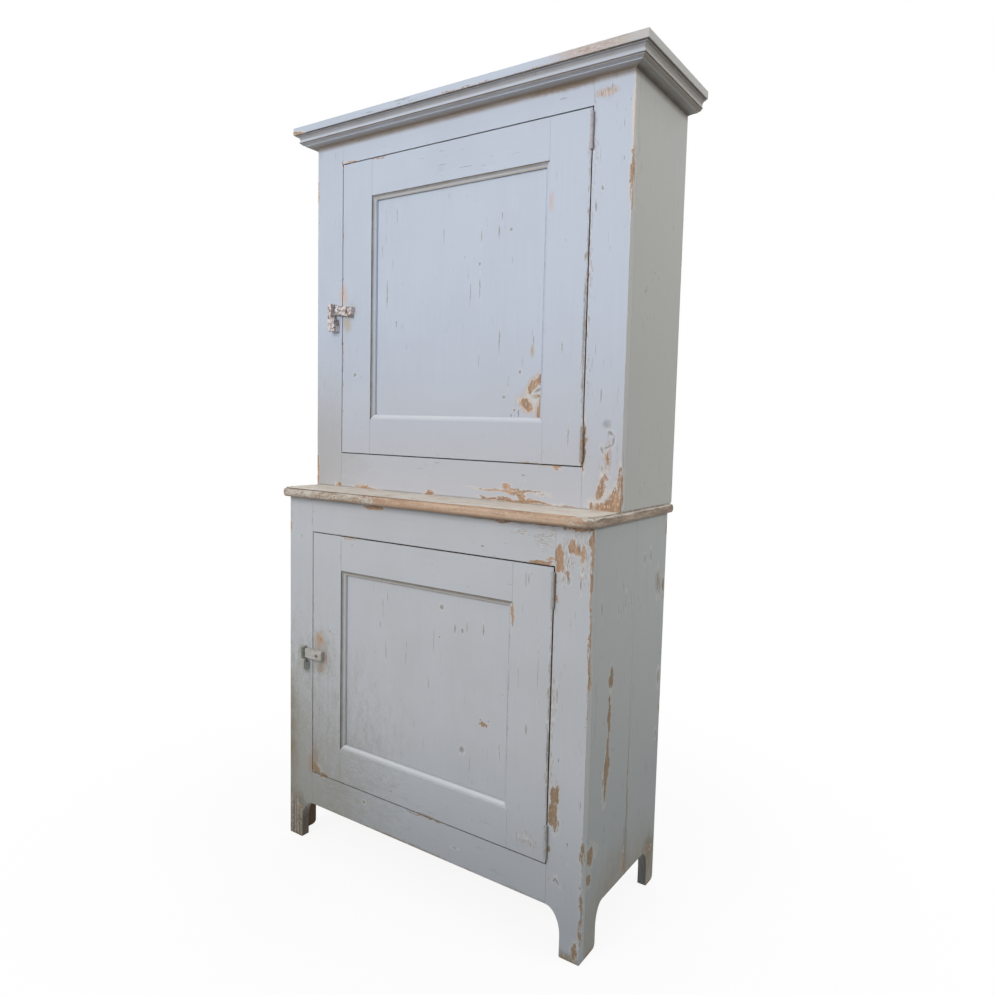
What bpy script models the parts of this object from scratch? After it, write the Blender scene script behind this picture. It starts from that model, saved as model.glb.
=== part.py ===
"""Two-part buffet cupboard in painted pine: a base with a worktop, and an upper case that stands on it.

Each case is a face-framed box with one inset frame-and-panel door, hung on butt hinges at its right
and closed at its left by a wooden turn bar that drops behind a hooked keeper.
Metres, +Z up. The front faces -Y. The origin is on the floor, under the middle of the whole cupboard.
"""

import math
from dataclasses import dataclass

import bmesh
import bpy
from mathutils import Vector

# Clearances
TOUCH = 0.0003  # between pieces that bear on each other
DOOR_GAP = 0.0025  # round an inset door
PLANK_GAP = 0.0008  # between neighbouring back planks
PLAY = 0.0003  # round a tenon, a tongue, a panel's edge or a housed board
RUNNING_PLAY = 0.0003  # round a hinge pin or a pivot screw
CUT_PAST = 0.002  # how far a cut runs past the surface it opens

# Base case
BASE_WIDTH = 0.923
BASE_DEPTH = 0.396
BASE_HEIGHT = 0.953
BASE_SIDE_THICK = 0.022
BASE_SIDE_SEAM = 0.178  # joint between the two boards of a side, from the back
BASE_STILE_WIDTH = 0.088
BASE_TOP_RAIL = 0.0905
BASE_BOTTOM_RAIL = 0.090
BASE_PLANK_LOW = 0.130  # lower ends of the back planks
BASE_SHELF_HEIGHT = 0.520

# Bracket feet
FRONT_ARCH_HEIGHT = 0.108  # underside of the bottom rail
FRONT_FOOT_WIDTH = 0.050
FRONT_CURVE_HEIGHT = 0.060
SIDE_ARCH_HEIGHT = 0.098
SIDE_FRONT_FOOT = 0.074  # from the face of the stile
SIDE_REAR_FOOT = 0.043
SIDE_CURVE_WIDTH = 0.030
SIDE_CURVE_HEIGHT = 0.050
FRONT_FOOT_ROUND = 0.003  # bottom corners of a foot
SIDE_FOOT_ROUND = 0.010
CURVE_STEPS = 8
FOOT_ROUND_STEPS = 3

# Worktop
WORKTOP_THICK = 0.024
WORKTOP_FRONT_OVERHANG = 0.028
WORKTOP_SIDE_OVERHANG = 0.0145
WORKTOP_CORNER_RADIUS = 0.030
NOSE_SWELL = 0.0055  # how far the rounded nose stands out
QUIRK_SET_BACK = 0.0080  # from the tip of the nose to the edge of the flat top
QUIRK_DROP = 0.0030
CORNER_STEPS = 8
NOSE_STEPS = 5

# Upper case
UPPER_WIDTH = 0.941
UPPER_DEPTH = 0.2925
UPPER_HEIGHT = 0.948
UPPER_SIDE_THICK = 0.022
UPPER_STILE_WIDTH = 0.095
UPPER_TOP_RAIL = 0.085
UPPER_BOTTOM_RAIL = 0.0925
UPPER_SHELF_LOW_HEIGHT = 1.330
UPPER_SHELF_HIGH_HEIGHT = 1.590

# Cornice, from the cap down
CAP_THICK = 0.0185
CAP_OVERHANG = 0.0475
CAP_EASE = 0.0012
CORNICE_BEAD_OUT = 0.0420
CORNICE_BEAD_HEIGHT = 0.0022
CORNICE_QUIRK = 0.0040
CORNICE_COVE_HEIGHT = 0.0150
CORNICE_COVE_SLOPE = 0.0025
CORNICE_COVE_HOLLOW = 0.0028
CORNICE_ARRIS = 0.0012  # upright edge under the cove
CORNICE_STEP = 0.0025  # back from that edge to the ovolo
CORNICE_OVOLO_WIDTH = 0.0085
CORNICE_OVOLO_HEIGHT = 0.0055
CORNICE_FILLET = 0.0016  # upright edge under the ovolo
CORNICE_SOFFIT_DROP = 0.0030
CORNICE_STEPS = 6

# Boards of both cases
FRAME_THICK = 0.022
TENON_LENGTH = 0.030
TENON_THICK = 0.008
TENON_SHOULDER = 0.016
PLANK_THICK = 0.016
PLANK_REBATE = 0.011  # how far the planks lap onto a side
PLANKS = ("left", "middle", "right")
FLOOR_THICK = 0.020
FLOOR_DROP = 0.003  # top of the floor, below the opening
HOUSING_DEPTH = 0.006
SHELF_THICK = 0.018
SHELF_SET_BACK = 0.034  # front edge, behind the face of the frame
SHELF_END_GAP = 0.0006
CLEAT_SIZE = 0.020
CLEAT_SET_BACK = 0.050
CLEAT_END_GAP = 0.012

# Doors
DOOR_THICK = 0.024
DOOR_STILE_WIDTH = 0.104
UPPER_DOOR_RAIL = 0.093
BASE_DOOR_RAIL = 0.090
STICKING_WIDTH = 0.012
STICKING_DEPTH = 0.012
STICKING_QUIRK = 0.0020  # step down from the face
STICKING_LEDGE = 0.0020
STICKING_TOE = 0.0025  # upright step onto the panel
STICKING_ROOT = 0.0040  # how far the moulding runs back into its own board
STICKING_STEPS = 5
GROOVE_DEPTH = 0.010
GROOVE_ENTRY = 0.009  # how far a tongue or the panel enters its groove
TONGUE_SHOULDER = 0.002
PANEL_EDGE_THICK = 0.007
PANEL_THICK = 0.011
PANEL_MARGIN = 0.012  # flat edge, before the bevel on the back
PANEL_BEVEL = 0.045

# Butt hinges
HINGE_LENGTH = 0.078
HINGE_FROM_END = 0.010
LEAF_THICK = 0.0015
LEAF_SUNK = 0.0008  # depth of a leaf's mortise
LEAF_WIDTH = 0.017
KNUCKLE_RADIUS = 0.0040
KNUCKLE_CLEAR = 0.0005
KNUCKLE_END_GAP = 0.0004
PIN_RADIUS = 0.0016
PIN_SIDES = 16

# Latches
BASE_LATCH_HEIGHT = 0.531
UPPER_LATCH_HEIGHT = 1.451
BASE_BAR_TILT = math.radians(0.0)
UPPER_BAR_TILT = math.radians(7.0)  # this bar rests with its end raised
LATCHED_ANGLE = math.radians(15.0)  # below level, behind the keeper's lip
BAR_LONG_ARM = 0.046
BAR_SHORT_ARM = 0.017
BAR_PAST_EDGE = 0.020  # how far the bar passes the door's free edge
BAR_HEIGHT = 0.0255
BAR_THICK = 0.0125
BAR_EASE = 0.0022
KEEPER_DEPTH = 0.021
KEEPER_POST = 0.014  # width of the upright part, beyond the end of the bar
KEEPER_FROM_OPENING = 0.0105
KEEPER_EASE = 0.0018
KEEPER_CLEAR = 0.002  # between the keeper and the bar's sweep
LIP_CLEAR = 0.0008  # between the lip and the bar's face
BASE_KEEPER_TOP = 0.0165  # above the pivot
UPPER_KEEPER_TOP = 0.022
BASE_KEEPER_HEEL = 0.0155  # solid block under the slot
UPPER_KEEPER_HEEL = 0.0255
SCREW_HEAD_RADIUS = 0.0046
SCREW_HEAD_HEIGHT = 0.0028
SCREW_SHANK_RADIUS = 0.0022
SCREW_DEPTH = 0.014
SCREW_SIDES = 16
SCREW_HEAD_STEPS = 4

# Places that follow from the sizes
BACK_Y = (BASE_DEPTH + WORKTOP_FRONT_OVERHANG) / 2
PLANK_Y = BACK_Y - PLANK_THICK
WORKTOP_Z = BASE_HEIGHT + WORKTOP_THICK
CAP_Z = WORKTOP_Z + UPPER_HEIGHT
GROOVE_FRONT = STICKING_DEPTH
GROOVE_BACK = GROOVE_FRONT + PANEL_EDGE_THICK + 2 * PLAY
SIDES = (("left", -1), ("right", 1))


def linear(red, green, blue):
    """A colour as it shows in a picture (0 to 255), in linear light."""
    values = [channel / 255 for channel in (red, green, blue)]
    return [v / 12.92 if v <= 0.04045 else ((v + 0.055) / 1.055) ** 2.4 for v in values] + [1.0]


def finish(name, colour, roughness, metallic=0.0):
    material = bpy.data.materials.new(name)
    material.use_nodes = True
    shader = material.node_tree.nodes["Principled BSDF"]
    shader.inputs["Base Color"].default_value = colour
    shader.inputs["Roughness"].default_value = roughness
    shader.inputs["Metallic"].default_value = metallic
    return material


for leftover in list(bpy.data.objects):
    bpy.data.objects.remove(leftover, do_unlink=True)

UPPER_PAINT = finish("pale blue-grey paint", linear(193, 203, 217), 0.55)
BASE_PAINT = finish("grey paint", linear(176, 180, 185), 0.58)
BARE_PINE = finish("bare pine", linear(176, 142, 106), 0.70)
WORN_PINE = finish("worn worktop pine", linear(192, 172, 150), 0.60)
PAINTED_IRON = finish("painted iron", linear(150, 146, 140), 0.50, 0.3)
DULL_STEEL = finish("dull steel", linear(120, 112, 104), 0.45, 0.9)


@dataclass
class Case:
    """One of the two cases: where it stands and the sizes that its boards and its door share."""

    name: str
    half: float  # half its width
    face_y: float
    foot_z: float
    top_z: float
    side_thick: float
    stile_width: float
    rail_low: float  # underside of the bottom rail
    opening_low: float
    opening_high: float
    plank_low: float
    paint: bpy.types.Material

    @property
    def inside(self):
        """Half the width between the sides."""
        return self.half - self.side_thick

    @property
    def opening(self):
        """Half the width of the door opening."""
        return self.half - self.stile_width

    @property
    def door_half(self):
        return self.opening - DOOR_GAP

    @property
    def frame_y(self):
        """Back of the face frame."""
        return self.face_y + FRAME_THICK


BASE = Case(
    name="base",
    half=BASE_WIDTH / 2,
    face_y=BACK_Y - BASE_DEPTH,
    foot_z=0.0,
    top_z=BASE_HEIGHT - TOUCH,
    side_thick=BASE_SIDE_THICK,
    stile_width=BASE_STILE_WIDTH,
    rail_low=FRONT_ARCH_HEIGHT,
    opening_low=FRONT_ARCH_HEIGHT + BASE_BOTTOM_RAIL,
    opening_high=BASE_HEIGHT - BASE_TOP_RAIL,
    plank_low=BASE_PLANK_LOW,
    paint=BASE_PAINT,
)
UPPER = Case(
    name="upper",
    half=UPPER_WIDTH / 2,
    face_y=BACK_Y - UPPER_DEPTH,
    foot_z=WORKTOP_Z + TOUCH,
    top_z=CAP_Z - TOUCH,
    side_thick=UPPER_SIDE_THICK,
    stile_width=UPPER_STILE_WIDTH,
    rail_low=WORKTOP_Z + TOUCH,
    opening_low=WORKTOP_Z + UPPER_BOTTOM_RAIL,
    opening_high=CAP_Z - UPPER_TOP_RAIL,
    plank_low=WORKTOP_Z + TOUCH,
    paint=UPPER_PAINT,
)


def joint_empty(name, place):
    """An empty on a joint's axis, which carries the pieces that turn on it."""
    empty = bpy.data.objects.new(name, None)
    empty.location = place
    bpy.context.scene.collection.objects.link(empty)
    return empty


def to_object(name, bm, material=None, parent=None, origin=None, smooth=False):
    """Makes an object of a bmesh that was drawn in place. Its origin is at its middle, or as given."""
    bmesh.ops.recalc_face_normals(bm, faces=bm.faces)
    if origin is None:
        low = Vector([min(vert.co[axis] for vert in bm.verts) for axis in range(3)])
        high = Vector([max(vert.co[axis] for vert in bm.verts) for axis in range(3)])
        origin = (low + high) / 2
    bmesh.ops.translate(bm, vec=-origin, verts=bm.verts)
    mesh = bpy.data.meshes.new(name)
    bm.to_mesh(mesh)
    bm.free()
    if smooth:
        mesh.shade_smooth()
        mesh.set_sharp_from_angle(angle=math.radians(35))
    if material:
        mesh.materials.append(material)
    thing = bpy.data.objects.new(name, mesh)
    thing.parent = parent
    thing.location = origin - parent.location if parent else origin
    bpy.context.scene.collection.objects.link(thing)
    return thing


def board(name, low, high, material=None, parent=None, origin=None):
    """A squared board between two corners."""
    low, high = Vector(low), Vector(high)
    bm = bmesh.new()
    bmesh.ops.create_cube(bm, size=1.0)
    bmesh.ops.scale(bm, vec=high - low, verts=bm.verts)
    bmesh.ops.translate(bm, vec=(low + high) / 2, verts=bm.verts)
    return to_object(name, bm, material, parent, origin)


def loft(name, rings, material=None, parent=None, smooth=False):
    """A solid through a row of rings with equal numbers of points, closed at both ends."""
    bm = bmesh.new()
    loops = [[bm.verts.new(point) for point in ring] for ring in rings]
    bm.faces.new(loops[0])
    bm.faces.new(loops[-1])
    for loop, after in zip(loops, loops[1:]):
        for index in range(len(loop)):
            bm.faces.new((loop[index - 1], loop[index], after[index], after[index - 1]))
    return to_object(name, bm, material, parent, smooth=smooth)


def prism(name, outline, ends, material=None, parent=None, smooth=False):
    """A solid between two copies of an outline. ends turns an outline point into its two end points."""
    pairs = [ends(*point) for point in outline]
    return loft(name, list(zip(*pairs)), material, parent, smooth)


def turned(name, profile, point, axis, sides, material=None, parent=None):
    """A solid of revolution. point turns each (radius, along) of the profile into a place."""
    bm = bmesh.new()
    verts = [bm.verts.new(point(radius, along)) for radius, along in profile]
    edges = [bm.edges.new(pair) for pair in zip(verts, verts[1:])]
    centre = point(0, 0)
    bmesh.ops.spin(bm, geom=verts + edges, cent=centre, axis=axis, angle=math.tau, steps=sides)
    bmesh.ops.remove_doubles(bm, verts=bm.verts, dist=1e-6)
    return to_object(name, bm, material, parent, smooth=True)


def combine(target, helper, operation):
    """Cuts the helper from the target or joins it on. The helper itself isn't a piece."""
    modifier = target.modifiers.new(f"{operation.lower()} {helper.name}", "BOOLEAN")
    modifier.operation = operation
    modifier.object = helper
    helper.hide_render = True
    helper.display_type = "WIRE"


def cut(target, helper):
    combine(target, helper, "DIFFERENCE")


def join(target, helper):
    combine(target, helper, "UNION")


def ease(thing, width):
    """Softens every sharp edge of a piece."""
    bevel = thing.modifiers.new("eased edges", "BEVEL")
    bevel.width = width
    bevel.segments = 2
    bevel.limit_method = "ANGLE"


def quarter_turn(steps):
    """Angles from 0 to 90 degrees."""
    return [math.pi / 2 * step / steps for step in range(steps + 1)]


def bracket(outer, toe, inner, outer_round, toe_round, curve_width, curve_height, arch, top):
    """Outline of a board that ends in a bracket foot: (across, up) points from the floor to the top."""
    way = math.copysign(1, inner - outer)
    points = []
    for angle in quarter_turn(FOOT_ROUND_STEPS):
        across = outer + way * outer_round * (1 - math.cos(angle))
        points.append((across, outer_round * (1 - math.sin(angle))))
    for angle in quarter_turn(FOOT_ROUND_STEPS):
        across = toe - way * toe_round * (1 - math.sin(angle))
        points.append((across, toe_round * (1 - math.cos(angle))))
    for angle in quarter_turn(CURVE_STEPS):
        across = toe + way * curve_width * (1 - math.cos(angle))
        points.append((across, arch - curve_height * (1 - math.sin(angle))))
    points += [(inner, arch), (inner, top), (outer, top)]
    return list(dict.fromkeys((round(across, 7), round(up, 7)) for across, up in points))


def face_frame(case, stile_outline):
    """Two stiles with the rails tenoned between them. Returns the stiles by side."""
    stiles = {}
    for side, way in SIDES:
        stiles[side] = prism(
            f"{case.name}_stile_{side}",
            stile_outline,
            lambda across, up: ((way * across, case.face_y, up), (way * across, case.frame_y, up)),
            case.paint,
        )
    tenon_front = case.face_y + (FRAME_THICK - TENON_THICK) / 2
    tenon_back = tenon_front + TENON_THICK
    rails = {"bottom": (case.rail_low, case.opening_low), "top": (case.opening_high, case.top_z)}
    for place, (low, high) in rails.items():
        end = case.opening - TOUCH
        rail = board(
            f"{case.name}_rail_{place}", (-end, case.face_y, low), (end, case.frame_y, high), case.paint
        )
        reach = case.opening + TENON_LENGTH
        tenon_low, tenon_high = low + TENON_SHOULDER, high - TENON_SHOULDER
        join(
            rail,
            board(
                f"{case.name}_{place}_tenons",
                (-reach, tenon_front, tenon_low),
                (reach, tenon_back, tenon_high),
            ),
        )
        for side, way in SIDES:
            mouth, root = case.opening - CUT_PAST, reach + PLAY
            mortise = board(
                f"{case.name}_{place}_{side}_mortise",
                (min(way * mouth, way * root), tenon_front - PLAY, tenon_low - PLAY),
                (max(way * mouth, way * root), tenon_back + PLAY, tenon_high + PLAY),
            )
            cut(stiles[side], mortise)
    return stiles


def sides(case, outlines):
    """Side boards, housed for the floor. Those that reach the back are rebated for the planks."""
    floor_high = case.opening_low - FLOOR_DROP
    for side, way in SIDES:

        def between(near, far):
            return sorted((way * near, way * far))

        x_low, x_high = between(case.inside - CUT_PAST, case.inside + HOUSING_DEPTH)
        housing = board(
            f"{case.name}_{side}_housing",
            (x_low, case.face_y, floor_high - FLOOR_THICK - PLAY),
            (x_high, PLANK_Y, floor_high + PLAY),
        )
        x_low, x_high = between(case.inside - CUT_PAST, case.inside + PLANK_REBATE)
        rebate = board(
            f"{case.name}_{side}_rebate",
            (x_low, PLANK_Y - TOUCH, max(case.plank_low - TOUCH, case.foot_z - CUT_PAST)),
            (x_high, BACK_Y + CUT_PAST, case.top_z + CUT_PAST),
        )
        for suffix, outline in outlines.items():
            piece = prism(
                f"{case.name}_side_{side}{suffix}",
                outline,
                lambda y, up: ((way * case.inside, y, up), (way * case.half, y, up)),
                case.paint,
            )
            cut(piece, housing)
            if max(y for y, up in outline) > PLANK_Y:
                cut(piece, rebate)


def floor(case):
    reach = case.inside + HOUSING_DEPTH - PLAY
    high = case.opening_low - FLOOR_DROP
    board(
        f"{case.name}_floor",
        (-reach, case.frame_y + TOUCH, high - FLOOR_THICK),
        (reach, PLANK_Y - TOUCH, high),
        BARE_PINE,
    )


def back_planks(case):
    """Upright planks in the rebates of the sides."""
    reach = case.inside + PLANK_REBATE - TOUCH
    pitch = (2 * reach + PLANK_GAP) / len(PLANKS)
    for index, place in enumerate(PLANKS):
        x = -reach + index * pitch
        board(
            f"{case.name}_back_plank_{place}",
            (x, PLANK_Y, case.plank_low),
            (x + pitch - PLANK_GAP, BACK_Y, case.top_z),
            BARE_PINE,
        )


def shelf(case, name, height):
    """A shelf and the two cleats that it rests on."""
    reach = case.inside - SHELF_END_GAP
    board(
        name,
        (-reach, case.face_y + SHELF_SET_BACK, height - SHELF_THICK),
        (reach, PLANK_Y - TOUCH, height),
        BARE_PINE,
    )
    cleat_high = height - SHELF_THICK - TOUCH
    for side, way in SIDES:
        x_low, x_high = sorted((way * (case.inside - TOUCH), way * (case.inside - CLEAT_SIZE)))
        board(
            f"{name}_cleat_{side}",
            (x_low, case.face_y + CLEAT_SET_BACK, cleat_high - CLEAT_SIZE),
            (x_high, PLANK_Y - CLEAT_END_GAP, cleat_high),
            BARE_PINE,
        )


def worktop():
    """Board with a quirked, rounded nose on three sides, and rounded front corners."""
    half = BASE.half + WORKTOP_SIDE_OVERHANG
    front = BASE.face_y - WORKTOP_FRONT_OVERHANG
    centre_x, centre_y = half - WORKTOP_CORNER_RADIUS, front + WORKTOP_CORNER_RADIUS
    nose = (WORKTOP_THICK - QUIRK_DROP) / 2
    profile = []
    for step in range(-NOSE_STEPS, NOSE_STEPS + 1):
        angle = math.pi / 2 * step / NOSE_STEPS
        profile.append((NOSE_SWELL * (1 - math.cos(angle)), nose * (1 + math.sin(angle))))
    profile.append((QUIRK_SET_BACK, WORKTOP_THICK - QUIRK_DROP))
    profile.append((QUIRK_SET_BACK, WORKTOP_THICK))
    rings = []
    for set_back, up in profile:
        radius = WORKTOP_CORNER_RADIUS - set_back
        right = [
            (centre_x + radius * math.sin(angle), centre_y - radius * math.cos(angle))
            for angle in quarter_turn(CORNER_STEPS)
        ]
        right.append((half - set_back, BACK_Y))
        left = [(-x, y) for x, y in reversed(right)]
        rings.append([(x, y, BASE_HEIGHT + up) for x, y in left + right])
    loft("base_worktop", rings, WORN_PINE, smooth=True)


def cornice():
    """Cap board, with a moulding under it that is mitred round the front corners."""
    half, face = UPPER.half, UPPER.face_y
    cap = board(
        "cornice_cap",
        (-half - CAP_OVERHANG, face - CAP_OVERHANG, CAP_Z),
        (half + CAP_OVERHANG, BACK_Y, CAP_Z + CAP_THICK),
        UPPER_PAINT,
    )
    ease(cap, CAP_EASE)

    cove_out = CORNICE_BEAD_OUT - CORNICE_QUIRK
    profile = [(0.0, 0.0), (CORNICE_BEAD_OUT, 0.0), (CORNICE_BEAD_OUT, CORNICE_BEAD_HEIGHT)]
    for step in range(CORNICE_STEPS + 1):
        share = step / CORNICE_STEPS
        hollow = CORNICE_COVE_HOLLOW * math.sin(math.pi * share)
        profile.append(
            (
                cove_out - CORNICE_COVE_SLOPE * share - hollow,
                CORNICE_BEAD_HEIGHT + CORNICE_COVE_HEIGHT * share,
            )
        )
    cove_edge, cove_down = profile[-1]
    ovolo_out, ovolo_down = cove_edge - CORNICE_STEP, cove_down + CORNICE_ARRIS
    profile.append((cove_edge, ovolo_down))
    for angle in quarter_turn(CORNICE_STEPS):
        profile.append(
            (
                ovolo_out - CORNICE_OVOLO_WIDTH * (1 - math.cos(angle)),
                ovolo_down + CORNICE_OVOLO_HEIGHT * math.sin(angle),
            )
        )
    soffit_out, soffit_down = profile[-1][0], profile[-1][1] + CORNICE_FILLET
    for angle in quarter_turn(CORNICE_STEPS):
        profile.append(
            (
                soffit_out * (1 - math.sin(angle)),
                soffit_down + CORNICE_SOFFIT_DROP * (1 - math.cos(angle)),
            )
        )

    top = CAP_Z - TOUCH
    mitre = TOUCH / 2

    def front_ends(out, down):
        end = half + TOUCH + out - mitre
        y = face - TOUCH - out
        return (-end, y, top - down), (end, y, top - down)

    prism("cornice_front", profile, front_ends, UPPER_PAINT, smooth=True)
    for side, way in SIDES:

        def return_ends(out, down):
            x = way * (half + TOUCH + out)
            return (x, face - TOUCH - out + mitre, top - down), (x, BACK_Y, top - down)

        prism(f"cornice_{side}", profile, return_ends, UPPER_PAINT, smooth=True)


def sticking():
    """Moulding round a door's panel: (into the opening, behind the face). A quirk, an ovolo and a toe."""
    width = STICKING_WIDTH - STICKING_LEDGE
    height = STICKING_DEPTH - STICKING_QUIRK - STICKING_TOE
    points = [(-STICKING_ROOT, STICKING_QUIRK)]
    for angle in quarter_turn(STICKING_STEPS):
        points.append(
            (STICKING_LEDGE + width * math.sin(angle), STICKING_QUIRK + height * (1 - math.cos(angle)))
        )
    points += [(STICKING_WIDTH, STICKING_DEPTH), (0.0, STICKING_DEPTH)]
    points.append((-STICKING_ROOT, STICKING_DEPTH - STICKING_TOE))
    return points


def grooved(outer, edge):
    """Section of a door board with a groove in its inner edge: (across, behind the face)."""
    root = edge + GROOVE_DEPTH
    return [
        (outer, 0.0),
        (edge, 0.0),
        (edge, GROOVE_FRONT),
        (root, GROOVE_FRONT),
        (root, GROOVE_BACK),
        (edge, GROOVE_BACK),
        (edge, DOOR_THICK),
        (outer, DOOR_THICK),
    ]


def door(case, rail_width):
    """Inset door: grooved stiles and rails with mitred sticking, round a panel with a bevelled back."""
    face = case.face_y
    low, high = case.opening_low + DOOR_GAP, case.opening_high - DOOR_GAP
    middle, half_height = (low + high) / 2, (high - low) / 2
    stile_edge = case.door_half - DOOR_STILE_WIDTH
    rail_edge = half_height - rail_width
    pin_x = case.opening - DOOR_GAP / 2
    pin_y = face - KNUCKLE_RADIUS - KNUCKLE_CLEAR
    hinge = joint_empty(f"{case.name}_door_hinge", (pin_x, pin_y, low))
    moulding = sticking()
    mitre = TOUCH / 2
    stiles = {}

    for place, way in (("latch", -1), ("hinge", 1)):
        stile = prism(
            f"{case.name}_door_stile_{place}",
            grooved(case.door_half, stile_edge),
            lambda across, depth: ((way * across, face + depth, low), (way * across, face + depth, high)),
            case.paint,
            hinge,
        )

        def stile_moulding(into, depth):
            x, y = way * (stile_edge - into), face + depth
            end = rail_edge - max(into, 0.0) - mitre
            return (x, y, middle - end), (x, y, middle + end)

        join(stile, prism(f"{case.name}_{place}_sticking", moulding, stile_moulding, None, hinge))
        stiles[place] = stile

    for place, way in (("bottom", -1), ("top", 1)):
        end = stile_edge - TOUCH
        rail = prism(
            f"{case.name}_door_rail_{place}",
            grooved(half_height, rail_edge),
            lambda across, depth: (
                (-end, face + depth, middle + way * across),
                (end, face + depth, middle + way * across),
            ),
            case.paint,
            hinge,
        )
        reach = stile_edge + GROOVE_ENTRY
        z_low, z_high = sorted(
            (
                middle + way * (rail_edge + GROOVE_DEPTH + TONGUE_SHOULDER),
                middle + way * (half_height - TONGUE_SHOULDER),
            )
        )
        tongues = board(
            f"{case.name}_{place}_tongues",
            (-reach, face + GROOVE_FRONT + PLAY, z_low),
            (reach, face + GROOVE_BACK - PLAY, z_high),
            None,
            hinge,
        )
        join(rail, tongues)

        def rail_moulding(into, depth):
            y, z = face + depth, middle + way * (rail_edge - into)
            moulding_end = stile_edge - max(into, 0.0) - mitre
            return (-moulding_end, y, z), (moulding_end, y, z)

        join(rail, prism(f"{case.name}_{place}_sticking", moulding, rail_moulding, None, hinge))

    panel_front = face + GROOVE_FRONT + PLAY
    rings = []
    for inset, thick in (
        (0.0, 0.0),
        (0.0, PANEL_EDGE_THICK),
        (PANEL_MARGIN, PANEL_EDGE_THICK),
        (PANEL_MARGIN + PANEL_BEVEL, PANEL_THICK),
    ):
        x, z = stile_edge + GROOVE_ENTRY - inset, rail_edge + GROOVE_ENTRY - inset
        corners = ((-x, -z), (x, -z), (x, z), (-x, z))
        rings.append([(across, panel_front + thick, middle + up) for across, up in corners])
    loft(f"{case.name}_door_panel", rings, case.paint, hinge)
    return hinge, stiles


def butt_hinge(case, place, low, hinge, door_stile, frame_stile):
    """Two leaves let into the door and the frame. The frame's leaf carries the pin."""
    high = low + HINGE_LENGTH
    third = HINGE_LENGTH / 3
    knuckle_low, knuckle_high = low + third, high - third
    gap = KNUCKLE_END_GAP / 2
    pin_x, pin_y = hinge.location.x, hinge.location.y
    root_y = case.face_y + LEAF_WIDTH
    name = f"{case.name}_hinge_{place}"

    def at_pin(radius, along):
        return pin_x + radius, pin_y, along

    def leaf(owner, x_low, x_high, outline, parent):
        return prism(
            f"{name}_{owner}_leaf",
            outline,
            lambda y, z: ((x_low, y, z), (x_high, y, z)),
            PAINTED_IRON,
            parent,
        )

    def mortise(owner, x_low, x_high, parent):
        return board(
            f"{name}_{owner}_mortise",
            (x_low, case.face_y - CUT_PAST, low - TOUCH),
            (x_high, root_y + TOUCH, high + TOUCH),
            None,
            parent,
        )

    jamb = case.opening
    frame_outline = [
        (root_y, low),
        (root_y, high),
        (pin_y, high),
        (pin_y, knuckle_high + gap),
        (case.face_y, knuckle_high + gap),
        (case.face_y, knuckle_low - gap),
        (pin_y, knuckle_low - gap),
        (pin_y, low),
    ]
    frame_leaf = leaf("frame", jamb + LEAF_SUNK - LEAF_THICK, jamb + LEAF_SUNK, frame_outline, None)
    spindle = [
        (0.0, low),
        (KNUCKLE_RADIUS, low),
        (KNUCKLE_RADIUS, knuckle_low - gap),
        (PIN_RADIUS, knuckle_low - gap),
        (PIN_RADIUS, knuckle_high + gap),
        (KNUCKLE_RADIUS, knuckle_high + gap),
        (KNUCKLE_RADIUS, high),
        (0.0, high),
    ]
    join(frame_leaf, turned(f"{name}_spindle", spindle, at_pin, (0, 0, 1), PIN_SIDES))
    cut(frame_stile, mortise("frame", jamb - CUT_PAST, jamb + LEAF_SUNK + TOUCH, None))

    edge = case.door_half
    door_outline = [
        (root_y, low),
        (root_y, high),
        (case.face_y, high),
        (case.face_y, knuckle_high - gap),
        (pin_y, knuckle_high - gap),
        (pin_y, knuckle_low + gap),
        (case.face_y, knuckle_low + gap),
        (case.face_y, low),
    ]
    door_leaf = leaf("door", edge - LEAF_SUNK, edge - LEAF_SUNK + LEAF_THICK, door_outline, hinge)
    barrel = [
        (0.0, knuckle_low + gap),
        (KNUCKLE_RADIUS, knuckle_low + gap),
        (KNUCKLE_RADIUS, knuckle_high - gap),
        (0.0, knuckle_high - gap),
    ]
    join(door_leaf, turned(f"{name}_barrel", barrel, at_pin, (0, 0, 1), PIN_SIDES, None, hinge))
    bore_radius = PIN_RADIUS + RUNNING_PLAY
    bore = [(0.0, low), (bore_radius, low), (bore_radius, high), (0.0, high)]
    cut(door_leaf, turned(f"{name}_bore", bore, at_pin, (0, 0, 1), PIN_SIDES, None, hinge))
    cut(door_stile, mortise("door", edge - LEAF_SUNK - TOUCH, edge + CUT_PAST, hinge))


def hang(case, hinge, door_stile, frame_stile):
    """A hinge near each end of the door."""
    low = case.opening_low + DOOR_GAP + HINGE_FROM_END
    high = case.opening_high - DOOR_GAP - HINGE_FROM_END - HINGE_LENGTH
    butt_hinge(case, "low", low, hinge, door_stile, frame_stile)
    butt_hinge(case, "high", high, hinge, door_stile, frame_stile)


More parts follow.
